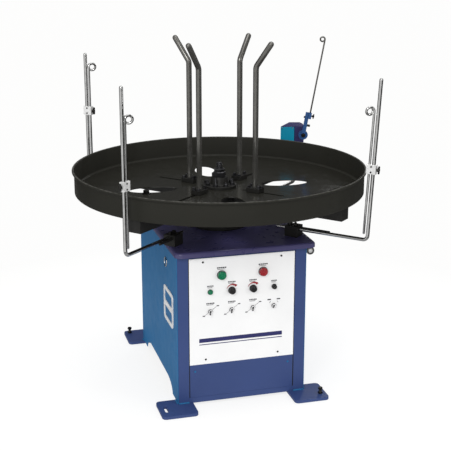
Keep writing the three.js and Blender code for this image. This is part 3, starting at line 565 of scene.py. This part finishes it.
def lid():
    """A folded sheet lid: a flat top, round folds and a short skirt."""
    bm = bmesh.new()
    bend = LID_TOP - FOLD
    fold = [(3, SKIRT_BOTTOM), (0, SKIRT_BOTTOM), (0, bend)]
    fold += [(FOLD * (1 - math.cos(a)), bend + FOLD * math.sin(a)) for a in (0.3, 0.6, 0.9, 1.2, 1.4)]
    fold += [(FOLD, LID_TOP), (14, LID_TOP)]
    rings = []
    for inset, z in fold:
        outline = rounded(LID_LEFT + inset, LID_RIGHT - inset, LID_FRONT + inset, LID_REAR - inset,
                          24 - inset * 0.8, 10)
        rings.append([bm.verts.new((x, y, z)) for x, y in outline])
    for lower, upper in zip(rings, rings[1:]):
        for i in range(len(lower)):
            j = (i + 1) % len(lower)
            bm.faces.new((lower[i], lower[j], upper[j], upper[i]))
    bm.faces.new(rings[-1])
    inner = rounded(LID_LEFT + 3, LID_RIGHT - 3, LID_FRONT + 3, LID_REAR - 3, 21.6, 10)
    under = [bm.verts.new((x, y, LID_UNDERSIDE)) for x, y in inner]
    for i in range(len(under)):
        j = (i + 1) % len(under)
        bm.faces.new((rings[0][j], rings[0][i], under[i], under[j]))
    bm.faces.new(under[::-1])
    finish_piece(bm, "lid", LID_PAINT, "stand", ["top_plate"], 40)


lid()


def weld(bm, start, end, radius=3.2):
    """A rippled bead between two points."""
    start, end = Vector(start), Vector(end)
    steps = max(4, int((end - start).length / 2.2))
    line = [start.lerp(end, i / steps) for i in range(steps + 1)]
    sweep(bm, line, radius, 10, wobble=0.22)


# The beads take the lighter side blue, not the frame's own blue: a painted highlight along the joints.
foot_welds = bmesh.new()
for side in (-1, 1):
    outer = side * (CABINET_X - 2)
    inner = side * (CABINET_X - 39)
    weld(foot_welds, (outer, FRONT - 1, 11), (inner, FRONT - 1, 11))
    weld(foot_welds, (outer - side, REAR + 1, 11), (inner, REAR + 1, 11))
    weld(foot_welds, (side * (CABINET_X + 1), FRONT + 2, 11), (side * (CABINET_X + 1), -250, 11))
    weld(foot_welds, (side * (CABINET_X + 1), REAR - 2, 11), (side * (CABINET_X + 1), 285, 11))
finish_piece(foot_welds, "foot_welds", SIDE_BLUE, "stand", smooth=60)

# Black strips in the gaps beside the front panel: painted shade standing in for the shadow in those
# gaps.
gap_shadows = bmesh.new()
for side in (-1, 1):
    x = side * 179.4
    brick(gap_shadows, x - 2.6, x + 2.6, FRONT + 1.5, FRONT + 2.6, 27.5, 507)
finish_piece(gap_shadows, "panel_gap_shadows", BLACK_PLASTIC, "stand")

screws = bmesh.new()
for x, z in ((-132, 495), (132, 495), (-124, 159), (124, 159)):
    pan_screw(screws, (x, FRONT, z), (0, -1, 0), 3.4)
finish_piece(screws, "panel_screws", BLACK_STEEL, "stand")
apron_screws = bmesh.new()
for x in (-160, 160):
    pan_screw(apron_screws, (x, FRONT + 1, 119), (0, -1, 0), 3.6)
finish_piece(apron_screws, "apron_screws", SIDE_BLUE, "stand")

# The left side has a plated ring with a blanking disc, and a plain plated frame, the frame's reflection
# painted in as near-white.
GLAND = at((-CABINET_X, -128, 456), (-1, 0, 0))
ring = bmesh.new()
lathe(ring, [(13.2, 0), (17, 0), (17, 1.5), (16.4, 2.9), (15.2, 3.6), (14, 2.9), (13.2, 1.5)],
      64, GLAND, closed=True)
finish_piece(ring, "gland_ring", CHROME, "stand", ["cable_gland"])
disc = bmesh.new()
lathe(disc, [(0, -1.5), (13, -1.5), (13, 1.0), (12, 1.8), (0, 1.8)], 48, GLAND)
finish_piece(disc, "gland_disc", SIDE_BLUE, "stand")

BADGE = at((-CABINET_X, -165, 312), (-1, 0, 0))
badge = plate_mesh([rounded(-60, 60, -68, 68, 18), rounded(9, 46, -54, 54, 9),
                    rounded(-46, -9, -54, 54, 9)], 0.1, 3.0)
bmesh.ops.transform(badge, matrix=BADGE, verts=badge.verts)
finish_piece(badge, "side_badge", REFLECTION_WHITE, "stand", bevel=0.8)

conduit = bmesh.new()
CONDUIT = at((CABINET_X + 13.8, FRONT, 503), (0, 1, 0))
lathe(conduit, [(9.6, 0), (11.4, 0.0), (12.8, 0.5), (13.4, 1.6), (13.4, 530), (9.6, 530)], 48,
      CONDUIT, closed=True)
finish_piece(conduit, "conduit_tube", CAST, "stand", ["cable_conduit"])
collar = bmesh.new()
lathe(collar, [(7.4, -0.2), (9.3, -0.6), (12.6, -0.4), (13.2, 0.4), (12.6, 2), (7.4, 2)], 48, CONDUIT,
      closed=True)
finish_piece(collar, "conduit_bush", STEEL, "stand")
# The plug's plated face is painted near-white, a painted reflection.
plug = bmesh.new()
lathe(plug, [(0, 3), (9.5, 3), (9.5, 5), (0, 5)], 32, CONDUIT)
finish_piece(plug, "conduit_plug", REFLECTION_WHITE, "stand")

# ---- Front panel ----

COLUMNS = (-108, -36, 36, 108)
BUTTON_Z = 447
KNOB_Z = 392
TOGGLE_Z = 325
BUTTONS = {"start": (-70, GREEN, "green_plastic"), "stop": (70, RED, "red_plastic")}


def on_panel(x, z):
    return at((x, FRONT, z), (0, -1, 0))


bezels = bmesh.new()
for x, _, _ in BUTTONS.values():
    lathe(bezels, [(14.4, 0), (15.8, 0), (15.8, 1.6), (15.2, 2.6), (14.4, 2.6)], 56,
          on_panel(x, BUTTON_Z), closed=True)
finish_piece(bezels, "button_bezels", BLACK_PLASTIC, "stand")
for name, (x, material, slot) in BUTTONS.items():
    cap = bmesh.new()
    lathe(cap, [(0, -22), (11, -22), (11, -18), (7.8, -18), (7.8, 4.4), (14, 4.4), (14, 9.0),
                (13.6, 10.2), (12.6, 10.9), (11.4, 11), (9, 10.3), (4, 10), (0, 9.9)], 56,
          on_panel(x, BUTTON_Z))
    finish_piece(cap, name + "_cap", material, name + "_button", [name + "_button"], 50)

lens = bmesh.new()
lathe(lens, [(0, -16), (2.8, -16), (2.8, 0.3), (8.2, 0.3), (8.2, 4), (7.2, 6.6), (4.4, 8.4),
             (0, 9)], 48, on_panel(COLUMNS[0], KNOB_Z))
finish_piece(lens, "lamp_lens", GREEN, "stand", ["power_lamp"], 50)
lamp_ring = bmesh.new()
lathe(lamp_ring, [(8.3, 0.2), (9.2, 0.2), (9.2, 1.4), (8.8, 2), (8.3, 2)], 48,
      on_panel(COLUMNS[0], KNOB_Z), closed=True)
finish_piece(lamp_ring, "lamp_ring", NICKEL, "stand")

fuse = bmesh.new()
lathe(fuse, [(0, -20), (2.8, -20), (2.8, 0.3), (8.8, 0.3), (8.8, 3), (8.2, 3.6), (7.6, 10), (6.8, 11),
             (0, 11)], 72, on_panel(COLUMNS[3], KNOB_Z), ripple=(18, 0.4))
finish_piece(fuse, "fuse_cap", BLACK_PLASTIC, "stand", ["fuse_holder"], 50)
fuse_slot = bmesh.new()
brick(fuse_slot, -4, 4, -0.7, 0.7, 10.6, 11.15, on_panel(COLUMNS[3], KNOB_Z)
      @ Matrix.Rotation(0.6, 4, "Z"))
finish_piece(fuse_slot, "fuse_slot", STEEL, "stand")

for side, x in (("left", COLUMNS[1]), ("right", COLUMNS[2])):
    body = "speed_knob_" + side
    knob = bmesh.new()
    lathe(knob, [(0, -14), (2.9, -14), (2.9, 1), (12.6, 1), (12.6, 3), (11.6, 4.2), (10.8, 12.6),
                 (9.8, 13.8), (8.8, 14), (0, 14)], 120, on_panel(x, KNOB_Z), ripple=(24, 0.5))
    finish_piece(knob, body + "_grip", BLACK_PLASTIC, body, [body], 60)
    line = bmesh.new()
    brick(line, x - 0.5, x + 0.5, FRONT - 14.5, FRONT - 13.8, KNOB_Z + 4, KNOB_Z + 9.6)
    finish_piece(line, body + "_line", STEEL, body)

nuts = bmesh.new()
for x in COLUMNS:
    lathe(nuts, [(6.6, 0.1), (8.2, 0.1), (8.2, 2.8), (7.6, 3.4), (6.6, 3.4)], 6,
          on_panel(x, TOGGLE_Z) @ Matrix.Rotation(0.2, 4, "Z"), closed=True)
finish_piece(nuts, "toggle_nuts", NICKEL, "stand")


def toggle(name, x, angle):
    """A bat lever leaning 24 degrees towards `angle` in the panel's plane."""
    lean = math.radians(24)
    axis = (math.sin(lean) * math.cos(angle), -math.cos(lean), math.sin(lean) * math.sin(angle))
    stand = at((x, FRONT - 2, TOGGLE_Z), axis)
    bm = bmesh.new()
    lathe(bm, [(0, -3.4), (2.2, -2.6), (3.3, 0), (2.4, 2.4), (1.6, 3.2), (1.6, 5), (2.3, 13),
               (2.6, 15), (2.2, 16.2), (1.2, 16.8), (0, 16.9)], 32, stand)
    finish_piece(bm, name + "_bat", NICKEL, name, [name], 60)


for name, x in zip(("toggle_feed", "toggle_mode", "toggle_brake"), COLUMNS):
    toggle(name, x, PI * 1.25)
toggle("toggle_direction", COLUMNS[3], PI)

# Printing: plain strokes in place of captions, red wedge scales round the knobs.
PRINT_Y = FRONT - 0.12


def stroke(bm, x, z, length, thick, angle=0.0):
    stand = Matrix.Translation((x, PRINT_Y, z)) @ Matrix.Rotation(-angle, 4, "Y")
    brick(bm, -length / 2, length / 2, 0, 0.1, -thick / 2, thick / 2, stand)


captions = bmesh.new()
for x, z, length in ((-70, 472, 32), (70, 472, 32), (-108, 412, 22), (-36, 421, 26), (36, 421, 26),
                     (108, 412, 20), (-108, 353, 28), (-36, 353, 26), (36, 353, 26)):
    for i in range(5):
        stroke(captions, x + (i - 2) * length / 5, z, length / 5 - 1.1, 4.2)
    stroke(captions, x - length * 0.06, z - 5.0, length * 0.78, 1.6)
for x in COLUMNS[:3]:
    stroke(captions, x + 14, TOGGLE_Z + 11, 16, 1.0, math.radians(35))
    stroke(captions, x + 25, TOGGLE_Z + 18, 8, 3.2)
    stroke(captions, x - 13, TOGGLE_Z - 9, 13, 1.0, math.radians(35))
    stroke(captions, x - 22, TOGGLE_Z - 14, 8, 3.2)
for side in (-1, 1):
    stroke(captions, COLUMNS[3] + side * 16, TOGGLE_Z + 22, 12, 4.0)
    stroke(captions, COLUMNS[3] + side * 13, TOGGLE_Z + 13, 8, 1.0, -side * math.radians(60))
finish_piece(captions, "panel_captions", PRINT_BLACK, "stand")

stripe = bmesh.new()
stroke(stripe, -4, 226, 284, 14)
stroke(stripe, -4, 212, 284, 3)
finish_piece(stripe, "panel_stripe", PRINT_BLUE, "stand")

scales = bmesh.new()
for x in COLUMNS[1:3]:
    steps = 26
    inner, outer = [], []
    for i in range(steps + 1):
        a = math.radians(158 - 118 * i / steps)
        near = 17.0
        far = 18.6 + 6.4 * (i / steps) ** 1.3
        inner.append((x + near * math.cos(a), KNOB_Z + near * math.sin(a)))
        outer.append((x + far * math.cos(a), KNOB_Z + far * math.sin(a)))
    for i in range(steps):
        corners = [inner[i], inner[i + 1], outer[i + 1], outer[i]]
        scales.faces.new([scales.verts.new((u, PRINT_Y, v)) for u, v in corners])
finish_piece(scales, "dial_scales", PRINT_RED, "stand")
ticks = bmesh.new()
for x in COLUMNS[1:3]:
    for i in range(11):
        a = math.radians(210 - 24 * i)
        stroke(ticks, x + 14.4 * math.cos(a), KNOB_Z + 14.4 * math.sin(a), 2.2, 0.5, a)
finish_piece(ticks, "dial_ticks", PRINT_BLACK, "stand")

# ---- Foot bolts ----

for corner, x, y in (("front_right", 262, -330), ("rear_left", -258, 378), ("rear_right", 258, 378)):
    name = "foot_bolt_" + corner
    bm = bmesh.new()
    lathe(bm, [(0, 0.4), (4.2, 0.4)] + threads(5.0, 1, 27) + [(4.4, 27), (0, 27)], 32,
          at((x, y, 0)))
    hexagon(bm, 14.4, 26.6, 32.7, at((x, y, 0), spin=0.2))
    hexagon(bm, 14.4, 12.0, 17.0, at((x, y, 0), spin=0.5))
    finish_piece(bm, name + "_screw", BLACK_STEEL, name, [name])

# ---- Pan ----

TURN = math.radians(-3.2)
PAN_FLOOR = 666
PAN_INSIDE = 669
PAN_SIDES = 224

rim = bmesh.new()
bead = [(495.2 + 4.1 * math.cos(a), 738.6 + 4.1 * math.sin(a))
        for a in [math.radians(-100 + 25 * i) for i in range(13)]]
lathe(rim, [(489, 665), (491.6, 665), (492, 665.6), (492, 729), (492.6, 732), (494.4, 734.4)]
      + bead + [(489.6, 741), (489, 739)], PAN_SIDES, closed=True)
finish_piece(rim, "pan_wall", PAN_BLACK, "turntable", ["pan_rim"], 50)

outlines = [ellipse(0, 0, 488.8, 488.8, 0, PAN_SIDES)]
outlines += [ellipse(230, 0, 82, 39, TURN + n * PI / 2) for n in range(4)]
for n in range(4):
    slot_turn = Matrix.Rotation(TURN + PI / 4 + n * PI / 2, 2)
    outlines.append([tuple(slot_turn @ Vector(p)) for p in rounded(93, 255, -6, 6, 5.95, 6)])
floor_plate = plate_mesh(outlines, PAN_FLOOR, PAN_INSIDE)
finish_piece(floor_plate, "pan_floor_plate", FLOOR_BLACK, "turntable", ["pan_floor"])

bead_line = bmesh.new()
lathe(bead_line, [(489.2, 668.5), (489.2, 674.5), (487.2, 671.8), (484.0, 670.0), (482.2, 668.5)],
      PAN_SIDES, closed=True)
finish_piece(bead_line, "pan_weld", PAN_BLACK, "turntable", smooth=60)

FLANGE_TOP = 678.3
hub = bmesh.new()
lathe(hub, [(0, 669.4), (60, 669.4), (60, 677), (58.8, FLANGE_TOP), (35, FLANGE_TOP), (32, 680),
            (30.6, 683), (28.2, 702), (27, 703.3), (0, 703.3)], 96)
finish_piece(hub, "hub_cover", BLACK, "turntable", ["hub_flange"], 40)
fixings = bmesh.new()
for i in range(8):
    a = TURN + 2 * PI * i / 8 + 0.3
    spot = (46 * math.cos(a), 46 * math.sin(a), FLANGE_TOP)
    bolt(fixings, spot, across=13, height=7, spin=i)
    lathe(fixings, threads(4, 0, 12 + 9 * (i % 3), 1.5) + [(0, 12 + 9 * (i % 3))], 20, at(spot))
lathe(fixings, [(0, 703), (22, 703), (22, 705.5), (0, 705.5)], 40)
hexagon(fixings, 40, 705.5, 722, at((0, 0, 0)))
hexagon(fixings, 34, 722.6, 732, at((0, 0, 0), spin=0.4))
lathe(fixings, [(0, 721), (10, 721)] + threads(11, 732, 751, 2.2) + [(10, 752), (8.5, 753.3),
                                                                  (0, 753.3)], 40)
finish_piece(fixings, "hub_fixings", NICKEL, "turntable", smooth=30)
floor_bolt = bmesh.new()
bolt(floor_bolt, (-262, -34, PAN_INSIDE + 0.1), across=19, height=11, spin=0.2)
finish_piece(floor_bolt, "pan_floor_bolt", BLACK_STEEL, "turntable")

housing_bolts = bmesh.new()
for i in range(6):
    a = 2 * PI * i / 6 + 0.2
    bolt(housing_bolts, (80 * math.cos(a), 80 * math.sin(a), 549), across=13, height=7, spin=i)
finish_piece(housing_bolts, "housing_bolts", STEEL, "stand")

# ---- Coil posts ----

POSTS = {"rear_right": (45, 130), "rear_left": (135, 122), "front_left": (225, 122),
         "front_right": (315, 143)}
POST_FOOT_TOP = 683.2
for corner, (degrees, place) in POSTS.items():
    body = "post_" + corner
    station = Matrix.Rotation(TURN + math.radians(degrees), 4, "Z")
    bm = bmesh.new()
    line = fillet([(place, 0, 679), (place, 0, 1087), (place + 61, 0, 1170.5)], 26, 12)
    sweep(bm, line, 9.4, 36, station, (False, True))
    finish_piece(bm, "post_bar_" + corner, DARK_CHROME, body,
                 ["coil_post_" + corner], 50)
    foot = bmesh.new()
    prism(foot, rounded(place - 26, place + 26, -18, 18, 4, 4), 669.4, POST_FOOT_TOP, station)
    finish_piece(foot, "post_foot_" + corner, BLACK, body, bevel=0.9)
    extras = bmesh.new()
    ring_line = [(place + 10.4 * math.cos(2 * PI * i / 28), 10.4 * math.sin(2 * PI * i / 28), 684)
                 for i in range(29)]
    sweep(extras, ring_line, 2.4, 8, station, wobble=0.2)
    finish_piece(extras, "post_weld_" + corner, BLACK, body, smooth=60)
    clamps = bmesh.new()
    for u, v, tall in ((-19, 9, 9), (-19, -9, 6), (19, 9, 6), (19, -9, 9)):
        spot = station @ Vector((place + u, v, POST_FOOT_TOP))
        bolt(clamps, spot, across=10, height=tall, spin=u + v)
    lathe(clamps, [(0, 653.4), (5, 653.4), (5, 669.6), (0, 669.6)], 24,
          station @ Matrix.Translation((place, 0, 0)))
    hexagon(clamps, 15.6, -661.4, -655, station @ at((place, 0, 0), (0, 0, -1)))
    finish_piece(clamps, "post_bolts_" + corner, NICKEL, body)

# ---- Wire guides ----

ROD_LEG = 561
ROD_START = 222
ROD_RADIUS = 5.95
HOLDER_TOP = 572


def eye_line(side, stem, wire, loop):
    """A straight stem and a pigtail eye leaning towards `side` along X."""
    points = [Vector((0, 0, 0.5)), Vector((0, 0, (stem - loop) * 0.5)),
              Vector((0, 0, stem - loop - wire))]
    steps = 64
    pitch = 2 * wire + 1.5
    for i in range(steps + 1):
        a = i / steps * 1.15 * 2 * PI
        points.append(Vector((side * loop * (1 - math.cos(a)), pitch * a / (2 * PI),
                              stem + loop * math.sin(a))))
    return points


def wing_screw(bm, stand, radius=6.0, span=13.0):
    """A thumb screw standing on a face: boss, shank and two rounded wings, drawn along Z."""
    lathe(bm, [(0, 0), (2.9, 0), (2.9, 3), (radius * 0.9, 3), (radius, 4), (radius * 0.8, 10.4),
               (radius * 0.5, 11), (0, 11)], 32, stand)
    for side in (-1, 1):
        outline = []
        for i in range(17):
            a = PI * (i / 16 - 0.5)
            outline.append((side * (span - 5 + 5 * math.cos(a)), 5 * math.sin(a)))
        outline = [(0, -3.4)] + outline + [(0, 3.4)]
        prism(bm, outline[::side], 6.2, 9.8, stand)


def rod_set(name, angle, place, top, lean, clamp_z, eye_end, eye_side, screw_end):
    """A guide rod with its clamp, wing screw and eye rod. The upright leans out by `lean`."""
    angle, lean = math.radians(angle), math.radians(lean)
    station = Matrix.Rotation(angle, 4, "Z")
    rod = bmesh.new()
    end = (place + math.tan(lean) * (top - ROD_LEG), 0, top)
    line = fillet([(ROD_START, 0, ROD_LEG), (place, 0, ROD_LEG), end], 16, 10)
    sweep(rod, line, ROD_RADIUS, 32, station)
    finish_piece(rod, "rod_" + name, CHROME, "guide_" + name, ["guide_rod_" + name], 50)

    out = Vector((math.cos(angle), math.sin(angle), 0))
    corner = Matrix.Translation(out * place + Vector((0, 0, ROD_LEG)))
    eye_stand = (corner @ Matrix.Rotation(lean, 4, Vector((-out.y, out.x, 0)))
                 @ Matrix.Translation(out * -14 + Vector((0, 0, eye_end - ROD_LEG))))
    eye = bmesh.new()
    sweep(eye, eye_line(eye_side, 400, 4, 12), 3.95, 20, eye_stand)
    finish_piece(eye, "eye_" + name + "_wire", CHROME, "eye_" + name,
                 ["eye_rod_" + name], 60)

    # The clamp's polished faces are painted near-white, a painted reflection.
    keep("guide_clamp_" + name, REFLECTION_WHITE, 1.2)
    upright = corner @ station @ Matrix.Rotation(lean, 4, "Y")
    height = clamp_z - ROD_LEG
    face = 10.3 if screw_end > 0 else -22.3
    wing = bmesh.new()
    wing_screw(wing, upright @ at((face, 0, height), (screw_end, 0, 0)))
    finish_piece(wing, "wing_" + name, BLACK_STEEL, "screw_" + name,
                 ["wing_screw_" + name], bevel=0.5)
    small = bmesh.new()
    for z in (-9, 9):
        for side in (-1, 1):
            stand = upright @ at((-5.5, side * 8, height + z), (0, side, 0))
            lathe(small, [(0, 0), (2.7, 0), (2.7, 1.6), (2.2, 2.2), (0, 2.2)], 20, stand)
    finish_piece(small, "clamp_screws_" + name, BLACK_STEEL, "clamp_" + name)


rod_set("front_left", -137.9, 530, 1082, 0, 779, 579, 1, 1)
rod_set("front_right", -46.2, 552, 1082, 2.9, 795, 578, -1, 1)
rod_set("rear_left", 135.3, 549, 1091, 0, 885, 641, 1, -1)

holder_bolts = bmesh.new()
for degrees in (-137.9, -46.2, 135.3, 45):
    station = Matrix.Rotation(math.radians(degrees), 4, "Z")
    for u, v in ((274, 0), (296, 0)):
        spot = station @ Vector((u, v, HOLDER_TOP))
        bolt(holder_bolts, spot, across=10, height=6, spin=u)
    bolt(holder_bolts, station @ Vector((285, 19, HOLDER_TOP)), across=8, height=4, spin=1)
finish_piece(holder_bolts, "holder_bolts", BLACK_STEEL, "stand")

# ---- Wire-tension switch ----

MAST = Matrix.Rotation(math.radians(45), 4, "Z")
MAST_OUT = 590
BOX_BOTTOM = 722
BOX_TOP = 783.6
PIVOT_Z = 753
mast = bmesh.new()
mast_line = fillet([(ROD_START, 0, ROD_LEG), (MAST_OUT, 0, ROD_LEG), (MAST_OUT, 0, BOX_BOTTOM)],
                   16, 10)
sweep(mast, mast_line, ROD_RADIUS, 32, MAST, (True, False))
finish_piece(mast, "mast_rod", CHROME, "switch", ["sensor_mast"], 50)

SWITCH = Matrix.Translation((351, 397, 0)) @ Matrix.Rotation(math.radians(-15.5), 4, "Z")
box_piece = bmesh.new()
prism(box_piece, [(0, 0), (52.8, 0), (52.8, 92), (38, 92)], BOX_BOTTOM, BOX_TOP, SWITCH)
finish_piece(box_piece, "switch_box", TEAL, "switch", ["sensor_box"], bevel=2)
block_piece = bmesh.new()
prism(block_piece, [(53, 6), (90, 6), (90, 60), (80, 92), (53, 92)], BOX_BOTTOM, BOX_TOP,
      SWITCH)
lathe(block_piece, [(0, 0), (4, 0), (4, 16), (0, 16)], 32,
      SWITCH @ at((87, 10, PIVOT_Z), (0, -1, 0)))
finish_piece(block_piece, "switch_block", VIOLET_BLUE, "switch", bevel=1.5)
cover = bmesh.new()
prism(cover, [(0.6, 0.4), (53, 0.4), (53, 6), (89.6, 6.4), (89.6, 59.8), (79.8, 91.6), (38.4, 91.6)],
      783.8, 785, SWITCH)
finish_piece(cover, "switch_cover", VIOLET_BLUE, "switch")
switch_screws = bmesh.new()
for u, z in ((6.5, 728), (6.5, 779), (47, 728), (47, 779)):
    spot = SWITCH @ Vector((u, 0, z))
    pan_screw(switch_screws, spot, SWITCH.to_3x3() @ Vector((0, -1, 0)), 2.4)
finish_piece(switch_screws, "switch_screws", STEEL, "switch")

LEVER = SWITCH @ Matrix.Translation((87, 0, PIVOT_Z)) @ Matrix.Rotation(math.radians(10), 4, "Y")
keep("sensor_lever", LEVER_BLUE, 1.0)
pivot = bmesh.new()
lathe(pivot, [(0, 0), (8, 0), (8, 1), (0, 1)], 32, LEVER @ at((0, -10.2, 0), (0, -1, 0)))
hexagon(pivot, 10, 1, 5.2, LEVER @ at((0, -10.2, 0), (0, -1, 0)))
bolt(pivot, LEVER @ Vector((7.2, -7, 40)), LEVER.to_3x3() @ Vector((1, 0, 0)), 8, 11, False)
bolt(pivot, LEVER @ Vector((-7.2, -7, 70)), LEVER.to_3x3() @ Vector((-1, 0, 0)), 7, 4, False)
finish_piece(pivot, "lever_bolts", BLACK_STEEL, "lever")
sense = bmesh.new()
sweep(sense, eye_line(-1, 298, 3, 8.5), 2.95, 20, LEVER @ Matrix.Translation((10, -8, 72)))
finish_piece(sense, "sensing_wire", DARK_CHROME, "sensing_rod", ["sensing_rod"], 60)
thumb = bmesh.new()
wing_screw(thumb, LEVER @ at((16.4, -8, 78), (1, 0, 0)), 4.4, 9.5)
finish_piece(thumb, "lever_thumb", BLACK_STEEL, "lever_screw", ["lever_screw"],
             bevel=0.4)

# ---- Floor ----

FLOOR_RADIUS = 1.6
FLOOR_SIDES = 96
floor_mesh = bpy.data.meshes.new("floor")
floor_angles = [2 * PI * i / FLOOR_SIDES for i in range(FLOOR_SIDES)]
floor_edge = [(FLOOR_RADIUS * math.cos(a), FLOOR_RADIUS * math.sin(a), 0) for a in floor_angles]
floor_mesh.from_pydata(floor_edge, [], [tuple(range(FLOOR_SIDES))])
floor = bpy.data.objects.new("floor", floor_mesh)
floor.location.z = -0.0005
# The floor glows a little, fully so at its edge, so that it runs into the white backdrop.
floor_paint = Graph("floor_paint")
reach = floor_paint.node("ShaderNodeVectorMath", operation="LENGTH")
floor_paint.link(floor_paint.coords, reach.inputs[0])
edge = floor_paint.remap(reach.outputs["Value"], 0.7, 1.5, 0, 1)
floor_paint.link(floor_paint.mix(edge, (0.26, 0.26, 0.26), (0, 0, 0)),
                 floor_paint.shader.inputs["Base Color"])
glow = floor_paint.remap(edge, 0, 1, 0.78, 0.985)
glossy = floor_paint.node("ShaderNodeLightPath").outputs["Is Glossy Ray"]
dim = floor_paint.remap(glossy, 0, 1, 1, 0.15)
strength = floor_paint.node("ShaderNodeMath", operation="MULTIPLY")
floor_paint.link(glow, strength.inputs[0])
floor_paint.link(dim, strength.inputs[1])
floor_paint.link(strength.outputs[0], floor_paint.shader.inputs["Emission Strength"])
floor_paint.shader.inputs["Emission Color"].default_value = (1, 1, 0.995, 1)
floor_paint.link(floor_paint.remap(floor_paint.noise(3), 0.3, 0.7, 0.8, 0.9),
                 floor_paint.shader.inputs["Roughness"])
floor_paint.shader.inputs["Specular IOR Level"].default_value = 0.0
floor_mesh.materials.append(floor_paint.material)
scene.collection.objects.link(floor)
